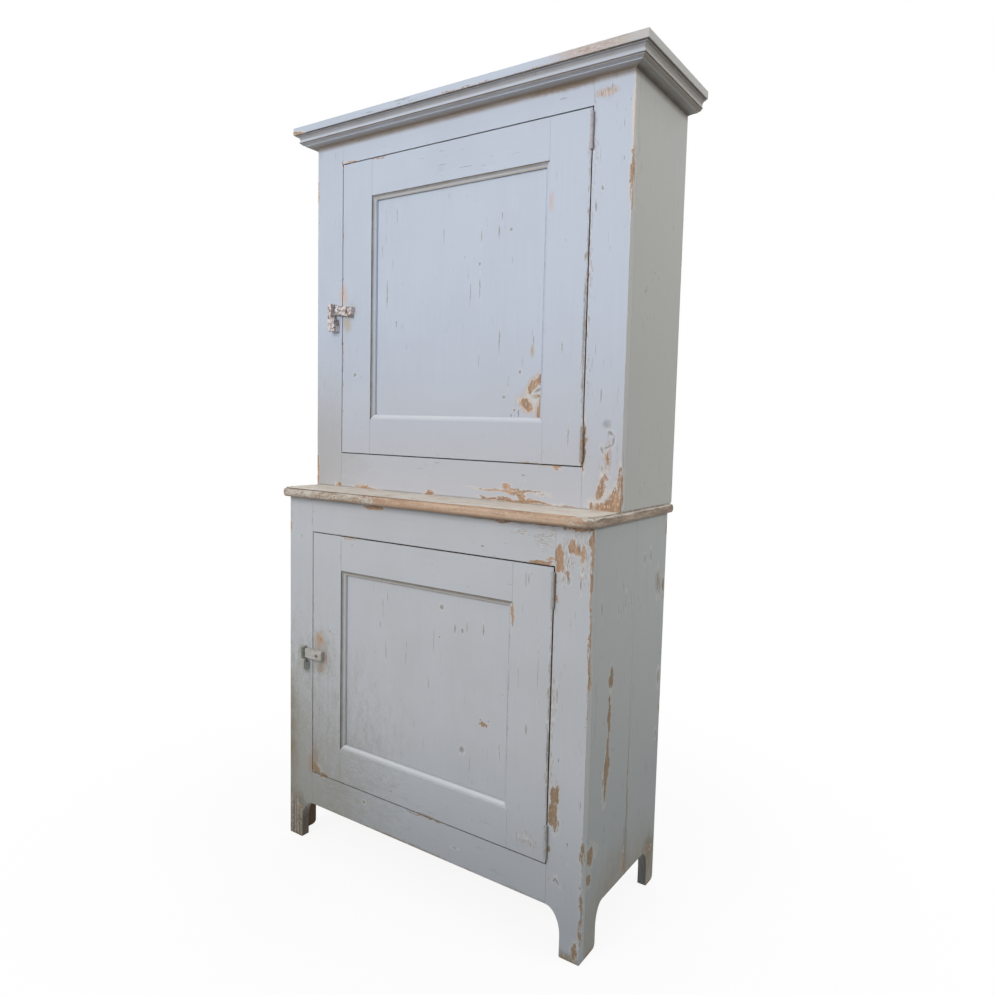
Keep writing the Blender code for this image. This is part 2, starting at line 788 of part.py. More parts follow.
def latch(case, hinge, door_stile, height, tilt, keeper_top, heel):
    """Turn bar on a screw in the door's free stile, and the hooked keeper on the frame beside it."""
    name = f"{case.name}_latch"
    face = case.face_y
    bar_end = -case.door_half - BAR_PAST_EDGE
    pivot = Vector((bar_end + BAR_LONG_ARM, face, height))
    bar_back = face - TOUCH
    bar_face = bar_back - BAR_THICK

    def at_pivot(radius, along):
        return pivot.x + radius, along, pivot.z

    def round_hole(owner, radius, front, back):
        profile = [(0.0, front), (radius, front), (radius, back), (0.0, back)]
        return turned(f"{name}_{owner}_hole", profile, at_pivot, (0, 1, 0), SCREW_SIDES, None, hinge)

    bar = board(
        f"{name}_bar",
        (bar_end, bar_face, height - BAR_HEIGHT / 2),
        (pivot.x + BAR_SHORT_ARM, bar_back, height + BAR_HEIGHT / 2),
        case.paint,
        hinge,
        pivot,
    )
    bar.rotation_euler.y = tilt
    ease(bar, BAR_EASE)
    hole_radius = SCREW_SHANK_RADIUS + RUNNING_PLAY
    cut(bar, round_hole("bar", hole_radius, bar_face - CUT_PAST, bar_back + CUT_PAST))
    cut(door_stile, round_hole("stile", hole_radius, face - CUT_PAST, face + SCREW_DEPTH + PLAY))

    head_y = bar_face - TOUCH
    screw = [(0.0, face + SCREW_DEPTH)]
    screw += [(SCREW_SHANK_RADIUS, face + SCREW_DEPTH), (SCREW_SHANK_RADIUS, head_y)]
    for angle in quarter_turn(SCREW_HEAD_STEPS):
        screw.append((SCREW_HEAD_RADIUS * math.cos(angle), head_y - SCREW_HEAD_HEIGHT * math.sin(angle)))
    turned(f"{name}_screw", screw, at_pivot, (0, 1, 0), SCREW_SIDES, DULL_STEEL, hinge)

    lip_right = -case.opening - KEEPER_FROM_OPENING
    sweep = math.hypot(BAR_LONG_ARM, BAR_HEIGHT / 2)
    post_right = pivot.x - sweep - KEEPER_CLEAR
    post_left = post_right - KEEPER_POST
    lip_top = height - BAR_HEIGHT / 2 - KEEPER_CLEAR
    drop = BAR_LONG_ARM * math.sin(LATCHED_ANGLE) + BAR_HEIGHT / 2 * math.cos(LATCHED_ANGLE)
    slot_low = height - drop - KEEPER_CLEAR
    outline = [
        (post_left, slot_low - heel),
        (lip_right, slot_low - heel),
        (lip_right, lip_top),
        (post_right, lip_top),
        (post_right, height + keeper_top),
        (post_left, height + keeper_top),
    ]
    keeper_back = face - TOUCH
    keeper = prism(
        f"{name}_keeper",
        outline,
        lambda x, z: ((x, keeper_back - KEEPER_DEPTH, z), (x, keeper_back, z)),
        case.paint,
    )
    ease(keeper, KEEPER_EASE)
    slot = board(
        f"{name}_keeper_slot",
        (post_right, bar_face - LIP_CLEAR, slot_low),
        (lip_right + CUT_PAST, face + CUT_PAST, lip_top + CUT_PAST),
    )
    cut(keeper, slot)


base_stile_outline = bracket(
    outer=BASE.half,
    toe=BASE.half - FRONT_FOOT_WIDTH,
    inner=BASE.opening,
    outer_round=0.0,
    toe_round=FRONT_FOOT_ROUND,
    curve_width=BASE_STILE_WIDTH - FRONT_FOOT_WIDTH,
    curve_height=FRONT_CURVE_HEIGHT,
    arch=FRONT_ARCH_HEIGHT,
    top=BASE.top_z,
)
seam_y = BACK_Y - BASE_SIDE_SEAM
base_side_outlines = {
    "_front": bracket(
        outer=BASE.frame_y + TOUCH,
        toe=BASE.face_y + SIDE_FRONT_FOOT,
        inner=seam_y - TOUCH / 2,
        outer_round=0.0,
        toe_round=SIDE_FOOT_ROUND,
        curve_width=SIDE_CURVE_WIDTH,
        curve_height=SIDE_CURVE_HEIGHT,
        arch=SIDE_ARCH_HEIGHT,
        top=BASE.top_z,
    ),
    "_rear": bracket(
        outer=BACK_Y,
        toe=BACK_Y - SIDE_REAR_FOOT,
        inner=seam_y + TOUCH / 2,
        outer_round=SIDE_FOOT_ROUND,
        toe_round=FRONT_FOOT_ROUND,
        curve_width=SIDE_CURVE_WIDTH,
        curve_height=SIDE_CURVE_HEIGHT,
        arch=SIDE_ARCH_HEIGHT,
        top=BASE.top_z,
    ),
}
upper_stile_outline = [
    (UPPER.half, UPPER.foot_z),
    (UPPER.opening, UPPER.foot_z),
    (UPPER.opening, UPPER.top_z),
    (UPPER.half, UPPER.top_z),
]
upper_side_outline = [
    (UPPER.frame_y + TOUCH, UPPER.foot_z),
    (BACK_Y, UPPER.foot_z),
    (BACK_Y, UPPER.top_z),
    (UPPER.frame_y + TOUCH, UPPER.top_z),
]

base_stiles = face_frame(BASE, base_stile_outline)
sides(BASE, base_side_outlines)
floor(BASE)
back_planks(BASE)
shelf(BASE, "base_shelf", BASE_SHELF_HEIGHT)
worktop()

upper_stiles = face_frame(UPPER, upper_stile_outline)
sides(UPPER, {"": upper_side_outline})
floor(UPPER)
back_planks(UPPER)
shelf(UPPER, "upper_shelf_low", UPPER_SHELF_LOW_HEIGHT)
shelf(UPPER, "upper_shelf_high", UPPER_SHELF_HIGH_HEIGHT)
cornice()

base_hinge, base_door = door(BASE, BASE_DOOR_RAIL)
hang(BASE, base_hinge, base_door["hinge"], base_stiles["right"])
latch(
    BASE, base_hinge, base_door["latch"], BASE_LATCH_HEIGHT, BASE_BAR_TILT, BASE_KEEPER_TOP, BASE_KEEPER_HEEL
)

upper_hinge, upper_door = door(UPPER, UPPER_DOOR_RAIL)
hang(UPPER, upper_hinge, upper_door["hinge"], upper_stiles["right"])
latch(
    UPPER,
    upper_hinge,
    upper_door["latch"],
    UPPER_LATCH_HEIGHT,
    UPPER_BAR_TILT,
    UPPER_KEEPER_TOP,
    UPPER_KEEPER_HEEL,
)
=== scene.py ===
import math

import bmesh
import bpy
from mathutils import Matrix, Vector


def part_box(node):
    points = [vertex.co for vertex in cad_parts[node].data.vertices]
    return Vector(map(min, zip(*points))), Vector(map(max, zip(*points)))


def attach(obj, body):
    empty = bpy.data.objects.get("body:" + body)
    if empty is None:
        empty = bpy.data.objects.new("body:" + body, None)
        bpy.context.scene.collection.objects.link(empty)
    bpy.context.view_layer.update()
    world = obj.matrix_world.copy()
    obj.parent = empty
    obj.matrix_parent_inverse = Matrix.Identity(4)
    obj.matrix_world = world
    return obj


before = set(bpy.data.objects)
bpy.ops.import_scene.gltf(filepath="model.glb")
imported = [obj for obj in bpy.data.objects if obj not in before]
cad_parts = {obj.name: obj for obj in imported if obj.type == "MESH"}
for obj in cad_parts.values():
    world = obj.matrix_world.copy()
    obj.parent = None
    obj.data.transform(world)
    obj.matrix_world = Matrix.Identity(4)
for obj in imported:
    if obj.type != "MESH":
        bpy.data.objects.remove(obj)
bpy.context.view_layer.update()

# Base case: side boards and face frame
# Hand-planed pine, two boards to a side, with the rails tenoned between the stiles and the feet sawn out of
# the boards. It is brushed with grey oil paint over a cream undercoat, and worn through where it is knocked.


def tint(red, green, blue):
    """A colour as it shows in a picture (0 to 255), in linear light."""
    values = [channel / 255 for channel in (red, green, blue)]
    return [v / 12.92 if v <= 0.04045 else ((v + 0.055) / 1.055) ** 2.4 for v in values] + [1.0]


class Field:
    """What one socket gives over a surface. Sums and products of fields add their own Math nodes."""

    def __init__(self, tree, socket):
        self.tree = tree
        self.socket = socket

    def node(self, kind, settings=None, sockets=None, out=0):
        """Adds any other node: its settings first, then the values or links of its sockets."""
        made = self.tree.nodes.new(kind)
        for key, value in (settings or {}).items():
            setattr(made, key, value)
        for key, value in (sockets or {}).items():
            if isinstance(value, Field):
                self.tree.links.new(value.socket, made.inputs[key])
            else:
                made.inputs[key].default_value = value
        return Field(self.tree, made.outputs[out])

    def math(self, operation, first, second=0.0):
        return self.node("ShaderNodeMath", {"operation": operation}, {0: first, 1: second})

    def __add__(self, other):
        return self.math("ADD", self, other)

    def __sub__(self, other):
        return self.math("SUBTRACT", self, other)

    def __rsub__(self, other):
        return self.math("SUBTRACT", other, self)

    def __mul__(self, other):
        return self.math("MULTIPLY", self, other)

    __radd__ = __add__
    __rmul__ = __mul__

    def __abs__(self):
        return self.math("ABSOLUTE", self)

    def most(self, other):
        return self.math("MAXIMUM", self, other)

    def rise(self, low, high):
        """0 up to low, 1 from high, and a smooth step between them."""
        sockets = {"Value": self, "From Min": low, "From Max": high}
        return self.node("ShaderNodeMapRange", {"interpolation_type": "SMOOTHSTEP"}, sockets)

    def mix(self, under, over):
        """The colour over, laid on the colour under as this field says."""
        return self.node("ShaderNodeMix", {"data_type": "RGBA"}, {0: self, 6: under, 7: over}, out=2)

    def noise(self, scale, stretch=(1, 1, 1), shift=0.0, detail=3.0, rough=0.55, out=0):
        """Noise over a place, so many lumps to the metre, drawn out by the stretch."""
        sizes = [scale / length for length in stretch]
        drawn = self.node("ShaderNodeMapping", {}, {"Vector": self, "Location": [shift] * 3, "Scale": sizes})
        sockets = {"Vector": drawn, "Scale": 1.0, "Detail": detail, "Roughness": rough}
        return self.node("ShaderNodeTexNoise", {}, sockets, out)

    def near(self, marks):
        """1 in the middle of a mark, 0 on its rim and less beyond."""
        nearest = -9.0
        for centre, half, turn in marks:
            sockets = {"Vector": self, "Location": centre, "Rotation": turn, "Scale": half}
            own = self.node("ShaderNodeMapping", {"vector_type": "TEXTURE"}, sockets)
            reach = own.node("ShaderNodeVectorMath", {"operation": "LENGTH"}, {0: own}, out="Value")
            nearest = (1 - reach).most(nearest)
        return nearest

    def strayed(self, scale, stretch, shift, most):
        """The place moved about by noise, so that what is drawn on it gets a torn outline."""
        stray = self.noise(scale, stretch, shift, detail=6.0, rough=0.68, out="Color")
        centred = stray.node("ShaderNodeVectorMath", {"operation": "SUBTRACT"}, {0: stray, 1: [0.5] * 3})
        scaled = {0: centred, 1: [most] * 3, 2: self}
        return stray.node("ShaderNodeVectorMath", {"operation": "MULTIPLY_ADD"}, scaled)

    def axes(self):
        return [self.node("ShaderNodeSeparateXYZ", {}, {0: self}, out=axis) for axis in range(3)]

    def into(self, shader, socket):
        self.tree.links.new(self.socket, shader.inputs[socket])

    def relief(self, shader, strength, depth):
        """Shades the surface as if this field were its height."""
        sockets = {"Strength": strength, "Distance": depth, "Height": self}
        self.node("ShaderNodeBump", {}, sockets).into(shader, "Normal")


def finish(name):
    """A new material, its shader and the place on the piece in metres."""
    material = bpy.data.materials.new(name)
    material.use_nodes = True
    tree = material.node_tree
    place = Field(tree, tree.nodes.new("ShaderNodeTexCoord").outputs["Object"])
    return material, tree.nodes["Principled BSDF"], place


GRAIN = {"x": (22, 1, 1), "y": (1, 22, 1), "z": (1, 1, 22)}
PINE_LIGHT = tint(190, 156, 128)
PINE_DARK = tint(160, 124, 96)
OLD_PINE = tint(130, 113, 90)
UNDERCOAT = tint(214, 206, 197)
CHALK = tint(218, 215, 211)
GRIME = tint(96, 92, 82)
# A brown used for dirt and for painted shade in quirks, moulding hollows and under overhangs.
DIRT_AND_SHADE = tint(110, 100, 87)
NICK = tint(110, 109, 106)


def drawn_out(along, share):
    """A stretch along the board, as a share of the full grain."""
    return [1 + (length - 1) * share for length in GRAIN[along]]


def pine_colour(place, along, shift):
    """Bare pine with its growth rings drawn out along the board."""
    rings = place.noise(70, GRAIN[along], shift, detail=4)
    return rings.rise(0.3, 0.7).mix(PINE_DARK, PINE_LIGHT), rings


def painted(
    name, coat, along, worn=(), scored=(), grubby=(), scars=(), stains_and_shade=(), lined=(),
    tone_below=None, flank=None, sunk=None, gap=None, raw=None, rim=1.0, busy=0.0, aged=0.0, shift=0.0,
):
    """Brushed paint on pine, nicked and worn in ragged flakes through a cream undercoat to the wood.

    worn, scored, grubby and scars are marks, and stains_and_shade are soft marks with a colour and a
    strength:
    stains, and painted shade lines beside mouldings and under overhangs. lined are lines at a height, of
    dirt and painted shade in quirks and under overhangs, and sunk are bands at a depth in a moulding, of
    dirt, painted shade and painted highlight. tone_below darkens and tints the paint towards the bottom,
    flank gives the outer side faces the sides' paint, which is the front's paint as it looks in shade, gap
    is painted shade in the crack round a door, raw is wood left bare, rim is how much undercoat shows, busy
    brings more nicks and aged is how grey the bare wood has gone.
    """
    material, shader, place = finish(name)
    axes = place.axes()
    streaks = place.noise(140, GRAIN[along], shift, detail=2)
    clouds = place.noise(6, (1, 1, 1), shift)
    lumps = place.noise(60, drawn_out(along, 0.08), shift + 7, detail=6, rough=0.7)
    crumbs = place.noise(300, drawn_out(along, 0.08), shift + 9, detail=3, rough=0.7)
    ragged = (lumps + crumbs * 0.5 - 0.75) * 5.5
    if worn or scored or grubby:
        torn_place = place.strayed(50, drawn_out(along, 0.10), shift + 8, 0.040)
    tone = (streaks * 0.25 + clouds * 0.75).rise(0.32, 0.68)
    if flank:
        edge, edge_coat = flank
        coat = (abs(axes[0]) - edge).rise(-0.0008, -0.0003).mix(coat, edge_coat)
    colour = ((1 - tone) * 0.07).mix(coat, GRIME)
    # Darker and tinted towards the bottom of the piece.
    if tone_below:
        level, depth, colour_below, strength = tone_below
        colour = ((level - axes[2]).rise(0.0, depth) * strength).mix(colour, colour_below)
    # Soft marks: stains, and painted shade lines beside mouldings and under overhangs.
    for marks, mark_colour, strength in stains_and_shade:
        spread = (place.near(marks) + (lumps - 0.5) * 0.9 + (crumbs - 0.5) * 0.9).rise(0.0, 0.8)
        colour = (spread * (clouds * 0.8 + 0.6) * strength).mix(colour, mark_colour)

    patches = place.noise(11, drawn_out(along, 0.04), shift + 2, detail=2)
    knocks = place.noise(150, drawn_out(along, 0.12), shift + 3, detail=3).rise(0.68 - busy, 0.73 - busy)
    hairs = place.noise(300, drawn_out(along, 0.9), shift + 5, detail=2).rise(0.66 - busy, 0.72 - busy)
    flecks = place.noise(240, drawn_out(along, 0.08), shift + 6, detail=2).rise(0.72, 0.76)
    nicks = (knocks * clouds.rise(0.50, 0.57)).most(hairs * patches.rise(0.50, 0.60))
    colour = (flecks * 0.5).mix(colour, CHALK)
    colour = (nicks * 0.75).mix(colour, NICK)
    if grubby:
        smear = torn_place.near(grubby).rise(-0.2, 0.9) * (clouds * 0.5 + lumps)
        colour = smear.mix(colour, tint(116, 102, 76))
    if scored:
        lines = place.noise(680, drawn_out(along, 0.4), shift + 13, detail=2)
        torn = (torn_place.near(scored) + ragged * 0.6).rise(-0.1, 0.6)
        colour = (torn * lines.rise(0.55, 0.62) * 0.6).mix(colour, CHALK)
        colour = (torn * (1 - lines).rise(0.54, 0.60) * 0.8).mix(colour, tint(150, 126, 103))
    if scars:
        cut = place.strayed(260, drawn_out(along, 0.25), shift + 11, 0.009).near(scars)
        cut = cut + (crumbs - 0.5) * 2.5
        colour = (cut.rise(-0.9, -0.3) * crumbs.rise(0.44, 0.54) * 0.4).mix(colour, CHALK)
        colour = (cut.rise(-0.2, 0.5) * 0.65).mix(colour, tint(114, 111, 105))
    # Lines at a height: dirt and painted shade in quirks and under overhangs.
    for level, half, strength, line_colour in lined:
        line = (1 - abs(axes[2] - level) * (1 / half)).rise(0.0, 0.8) * (lumps * 0.7 + 0.65)
        colour = (line * strength).mix(colour, line_colour)
    # Bands across a moulding's depth: dirt, painted shade and painted highlight.
    if sunk:
        face, moulded, bands = sunk
        there = moulded(*axes).rise(0.0, 0.0004) * (lumps * 0.8 + 0.6)
        for depth, half, strength, band_colour in bands:
            band = (1 - abs(axes[1] - face - depth) * (1 / half)).rise(0.0, 0.8)
            colour = (band * there * strength).mix(colour, band_colour)
    # Painted shade in the crack round a door.
    if gap:
        half, middle, half_height, width, strength = gap
        beyond = (abs(axes[0]) - half).most(abs(axes[2] - middle) - half_height)
        crack = (width / 2 + 0.0007 - abs(beyond - width / 2)).rise(0.0, 0.0004) * (lumps * 0.8 + 0.6)
        colour = (crack * strength).mix(colour, tint(70, 62, 54))
    bare = 0.0
    if worn:
        reach = torn_place.near(worn) * 1.3 + ragged * 0.5
        colour = (reach.rise(-0.7, -0.1) * crumbs.rise(0.40, 0.56) * (0.8 * rim)).mix(colour, UNDERCOAT)
        bare = reach.rise(0.0, 0.12)
    if raw:
        behind = (raw(*axes) + (lumps - 0.5) * 0.004).rise(0.0, 0.0005)
        bare = behind.most(bare)
    height = streaks * 0.05 - nicks * 0.6
    rough = tone * 0.08 + 0.50
    if worn or raw:
        clean, rings = pine_colour(place, along, shift)
        wood = (lumps.rise(0.48, 0.60) * 0.6).mix(clean, OLD_PINE)
        wood = ((0.62 - axes[2]).rise(0.0, 0.32) * (0.8 - aged) + aged).mix(wood, OLD_PINE)
        wood = (crumbs.rise(0.57, 0.63) * (0.7 * rim)).mix(wood, UNDERCOAT)
        if raw:
            clean = ((0.12 - axes[2]).rise(0.0, 0.02) * 0.8).mix(clean, OLD_PINE)
            wood = behind.mix(wood, (hairs * 0.5).mix(clean, tint(140, 96, 60)))
        colour = bare.mix(colour, wood)
        height = height - bare * 0.8 + bare * rings * 0.4
        rough = rough + bare * 0.2
    colour.into(shader, "Base Color")
    rough.into(shader, "Roughness")
    height.relief(shader, 0.35, 0.001)
    return material


def soften():
    """A modifier group that shades shallow folds smooth and keeps the arrises crisp."""
    group = bpy.data.node_groups.new("shaded by angle", "GeometryNodeTree")
    group.interface.new_socket("Mesh", in_out="INPUT", socket_type="NodeSocketGeometry")
    group.interface.new_socket("Mesh", in_out="OUTPUT", socket_type="NodeSocketGeometry")
    start = group.nodes.new("NodeGroupInput")
    angle = group.nodes.new("GeometryNodeInputMeshEdgeAngle")
    steep = group.nodes.new("FunctionNodeCompare")
    steep.inputs[1].default_value = math.radians(25)
    shade = group.nodes.new("GeometryNodeSetMeshNormal")
    shade.inputs["Remove Custom"].default_value = True
    end = group.nodes.new("NodeGroupOutput")
    group.links.new(start.outputs[0], shade.inputs["Mesh"])
    group.links.new(angle.outputs[0], steep.inputs[0])
    group.links.new(steep.outputs[0], shade.inputs["Edge Sharpness"])
    group.links.new(shade.outputs[0], end.inputs[0])
    return group


SOFTENED = soften()


def dress(node, material, arris=0.0004):
    """Gives a CAD piece its finish and takes the sharpness off its arrises."""
    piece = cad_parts[node]
    piece.material_slots[0].material = material
    piece.modifiers.new("one skin", "WELD").merge_threshold = 1e-5
    flat = piece.modifiers.new("whole faces", "DECIMATE")
    flat.decimate_type = "DISSOLVE"
    flat.angle_limit = math.radians(0.5)
    worn_edge = piece.modifiers.new("worn arrises", "BEVEL")
    worn_edge.width = arris
    worn_edge.segments = 2
    worn_edge.limit_method = "ANGLE"
    worn_edge.angle_limit = math.radians(35)
    piece.modifiers.new("shading", "NODES").node_group = SOFTENED
    piece.modifiers.new("flat broad faces", "WEIGHTED_NORMAL").keep_sharp = True


MARK_DEPTH = 0.012


def on_front(face, *marks):
    """Marks on a front face: across, up, half width, half height and, where it leans, a turn in degrees."""
    return [
        ((x, face, z), (w, MARK_DEPTH, h), (0, math.radians(-sum(turn)), 0)) for x, z, w, h, *turn in marks
    ]


def on_side(face, *marks):
    """Marks on a right-hand side, given as on_front's are, with how far back in place of how far across."""
    return [
        ((face, y, z), (MARK_DEPTH, w, h), (math.radians(sum(turn)), 0, 0)) for y, z, w, h, *turn in marks
    ]


def front_stains_and_shade(face, *stains_and_shade):
    """Soft marks on a front face, as stains and as painted shade lines: each a mark, its colour and its
    strength.
    """
    return [(on_front(face, mark), colour, strength) for mark, colour, strength in stains_and_shade]


def door_gap(case, strength):
    """Half width, middle height, half height, width and strength of the painted shade in the gap that runs
    round a door.
    """
    rail_low, rail_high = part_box(f"{case}_door_rail_bottom")[0].z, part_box(f"{case}_door_rail_top")[1].z
    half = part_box(f"{case}_door_stile_hinge")[1].x
    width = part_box(f"{case}_stile_right")[0].x - half
    return half, (rail_low + rail_high) / 2, (rail_high - rail_low) / 2, width, strength


base_grey = tint(191, 194, 199)
# The sides' grey stands for the front's paint as it looks in shade: darker and warmer.
base_side_shaded_grey = tint(174, 178, 176)
# Darker and bluer towards the floor.
base_tone_below = (0.50, 0.50, tint(90, 106, 120), 0.36)
base_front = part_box("base_stile_left")[0].y
base_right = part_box("base_side_right_front")[1].x
base_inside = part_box("base_side_right_front")[0].x
base_frame_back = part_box("base_stile_left")[1].y
worktop_low, worktop_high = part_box("base_worktop")
base_gap = door_gap("base", 0.8)


def damp(face):
    """The olive bloom that spreads from the left foot over a front face."""
    return front_stains_and_shade(
        face,
        ((-0.500, 0.080, 0.550, 0.620), tint(128, 121, 98), 0.55),
        ((-0.450, 0.020, 0.090, 0.150), tint(104, 90, 70), 0.75),
    )


PAINT_STOPS = 0.0025
OUTER_SKIN = 0.0006


def behind_frame(back, right):
    """Where a face frame is left bare: from near its back inwards, but not on its outer faces."""
    return lambda x, y, z: (back - PAINT_STOPS - y).most(abs(x) - right + OUTER_SKIN) * -1


def inside_sides(inside):
    """Where the sides of a case are left bare: on their inner faces."""
    return lambda x, y, z: inside + PAINT_STOPS - abs(x)


JOINT = 0.0002
base_frame_paint = {
    "tone_below": base_tone_below,
    "flank": (base_right, base_side_shaded_grey),
    "gap": base_gap,
    "raw": behind_frame(base_frame_back, base_right),
    "stains_and_shade": damp(base_front),
    "rim": 0.5,
    "shift": 1.0,
}
dress(
    "base_stile_right",
    painted(
        "base right stile", base_grey, "z",
        worn=on_front(
            base_front,
            (0.381, 0.890, 0.011, 0.026),
            (0.384, 0.866, 0.010, 0.014),
            (0.416, 0.909, 0.010, 0.016),
            (0.424, 0.896, 0.006, 0.010),
            (0.438, 0.891, 0.006, 0.022),
            (0.430, 0.947, 0.034, 0.004),
            (0.4615, 0.905, 0.004, 0.050),
            (0.4615, 0.833, 0.006, 0.024),
            (0.4615, 0.700, 0.002, 0.150),
            (0.376, 0.822, 0.003, 0.042),
            (0.387, 0.318, 0.014, 0.034),
            (0.388, 0.356, 0.009, 0.026),
            (0.379, 0.238, 0.004, 0.009),
            (0.405, 0.845, 0.004, 0.010),
            (0.4615, 0.250, 0.002, 0.040),
            (0.4615, 0.100, 0.003, 0.080),
            (0.448, 0.030, 0.005, 0.020),
            (0.436, 0.000, 0.030, 0.004),
        ),
        scored=on_front(
            base_front,
            (0.430, 0.925, 0.036, 0.030),
            (0.400, 0.870, 0.030, 0.050),
            (0.440, 0.870, 0.016, 0.060),
            (0.390, 0.365, 0.012, 0.050),
            (0.376, 0.560, 0.005, 0.300),
            (0.384, 0.549, 0.006, 0.045),
        ),
        scars=on_front(
            base_front,
            (0.437, 0.831, 0.0022, 0.017),
            (0.408, 0.838, 0.004, 0.009),
            (0.388, 0.585, 0.0025, 0.018),
            (0.402, 0.169, 0.003, 0.010, 35),
            (0.395, 0.171, 0.003, 0.008, -30),
        ),
        grubby=on_front(base_front, (0.436, 0.0, 0.060, 0.020)),
        # A dark line of dirt and painted shade under the worktop's overhang.
        lined=[(worktop_low.z, 0.007, 0.7, DIRT_AND_SHADE)],
        **base_frame_paint,
    ),
    JOINT,
)
# Dark brown over the left foot: a stain on its front and painted shade on its inner cheek.
left_foot_stain_and_shade = ((-0.436, base_front, 0.020), (0.110, 0.100, 0.110), (0, 0, 0))
dress(
    "base_stile_left",
    painted(
        "base left stile", base_grey, "z",
        worn=on_front(
            base_front,
            (-0.4615, 0.870, 0.006, 0.018),
            (-0.4615, 0.420, 0.002, 0.120),
            (-0.415, 0.086, 0.014, 0.004),
        ),
        scars=on_front(
            base_front,
            (-0.455, 0.050, 0.003, 0.036),
            (-0.441, 0.040, 0.002, 0.030),
            (-0.430, 0.052, 0.003, 0.034),
            (-0.418, 0.036, 0.002, 0.030),
        ),
        grubby=on_front(base_front, (-0.480, 0.300, 0.060, 0.250)),
        # A dark line of dirt and painted shade under the worktop's overhang.
        lined=[(worktop_low.z, 0.005, 0.5, DIRT_AND_SHADE)],
        **dict(
            base_frame_paint, gap=None,
            stains_and_shade=[
                *damp(base_front),
                ([left_foot_stain_and_shade], tint(98, 86, 66), 0.95),
                *front_stains_and_shade(base_front, ((-0.376, 0.225, 0.016, 0.050), tint(150, 128, 108), 0.8)),
            ],
        ),
    ),
    JOINT,
)
dress(
    "base_rail_top",
    painted(
        "base top rail", base_grey, "x",
        worn=on_front(
            base_front,
            (-0.149, 0.944, 0.036, 0.007),
            (0.350, 0.869, 0.026, 0.008, 14),
            (0.240, 0.949, 0.030, 0.003),
            (0.340, 0.950, 0.050, 0.003),
            (0.318, 0.864, 0.012, 0.002),
        ),
        scored=on_front(base_front, (0.292, 0.929, 0.036, 0.008), (0.350, 0.920, 0.030, 0.026)),
        grubby=on_front(base_front, (0.250, 0.951, 0.200, 0.006)),
        # A dark line of dirt and painted shade under the worktop's overhang.
        lined=[(worktop_low.z, 0.006, 0.7, DIRT_AND_SHADE)], busy=-0.02,
        **base_frame_paint,
    ),
    JOINT,
)
dress(
    "base_rail_bottom",
    painted(
        "base bottom rail", base_grey, "x",
        worn=on_front(
            base_front,
            (0.024, 0.1965, 0.055, 0.0015),
            (-0.150, 0.108, 0.090, 0.001),
            (0.150, 0.108, 0.080, 0.001),
            (-0.330, 0.196, 0.020, 0.003),
        ),
        scars=on_front(base_front, (-0.178, 0.172, 0.006, 0.005), (0.120, 0.150, 0.009, 0.0025)),
        grubby=on_front(base_front, (0.0, 0.104, 0.600, 0.010)), busy=-0.02,
        **dict(base_frame_paint, gap=door_gap("base", 0.2)),
    ),
    JOINT,
)
base_side_paint = painted(
    "base sides", base_side_shaded_grey, "z",
    worn=on_side(
        base_right,
        (-0.084, 0.392, 0.013, 0.062, -3),
        (-0.079, 0.490, 0.006, 0.080, -3),
        (-0.074, 0.609, 0.008, 0.024),
        (-0.148, 0.230, 0.022, 0.022),
        (-0.158, 0.180, 0.012, 0.014),
        (0.026, 0.134, 0.006, 0.030),
        (-0.140, 0.004, 0.030, 0.006),
        (0.172, 0.098, 0.020, 0.008),
        (0.204, 0.774, 0.006, 0.022),
        (0.212, 0.560, 0.003, 0.200),
        (0.212, 0.915, 0.004, 0.020),
        (0.190, 0.002, 0.024, 0.006),
    ),
    stains_and_shade=[
        (on_side(base_right, (0.175, 0.095, 0.060, 0.050)), tint(92, 84, 62), 0.8),
        (on_side(base_right, (-0.184, 0.250, 0.014, 0.130)), tint(176, 166, 152), 0.6),
        (on_side(base_right, (0.034, 0.150, 0.020, 0.110)), tint(100, 96, 82), 0.6),
    ],
    grubby=on_side(
        base_right,
        (0.030, 0.020, 0.300, 0.200),
        (0.190, 0.050, 0.060, 0.100),
        (0.034, 0.300, 0.004, 0.240),
        (0.170, 0.783, 0.020, 0.034),
    ),
    scars=on_side(
        base_right,
        (0.085, 0.852, 0.004, 0.012),
        (0.119, 0.857, 0.004, 0.015),
        (0.166, 0.785, 0.005, 0.030),
        (0.180, 0.770, 0.005, 0.020),
        (-0.132, 0.772, 0.003, 0.018),
        (-0.012, 0.767, 0.003, 0.019),
        (-0.048, 0.756, 0.003, 0.012),
        (0.195, 0.538, 0.007, 0.019),
        (0.191, 0.394, 0.005, 0.011),
    ),
    # A dark line of painted shadow under the worktop's overhang.
    lined=[(worktop_low.z, 0.009, 0.75, tint(84, 80, 72))],
    tone_below=(0.90, 0.90, tint(80, 92, 100), 0.42), raw=inside_sides(base_inside),
    rim=0.5, busy=0.015, aged=0.75, shift=5.0,
)
for side in ("left", "right"):
    dress(f"base_side_{side}_front", base_side_paint)
    dress(f"base_side_{side}_rear", base_side_paint)

# Insides and backs of both cases
# Unpainted pine boards: the floors are housed in the sides, the shelves lie on cleats, and the upright back
# planks are nailed into the rebates of the sides.


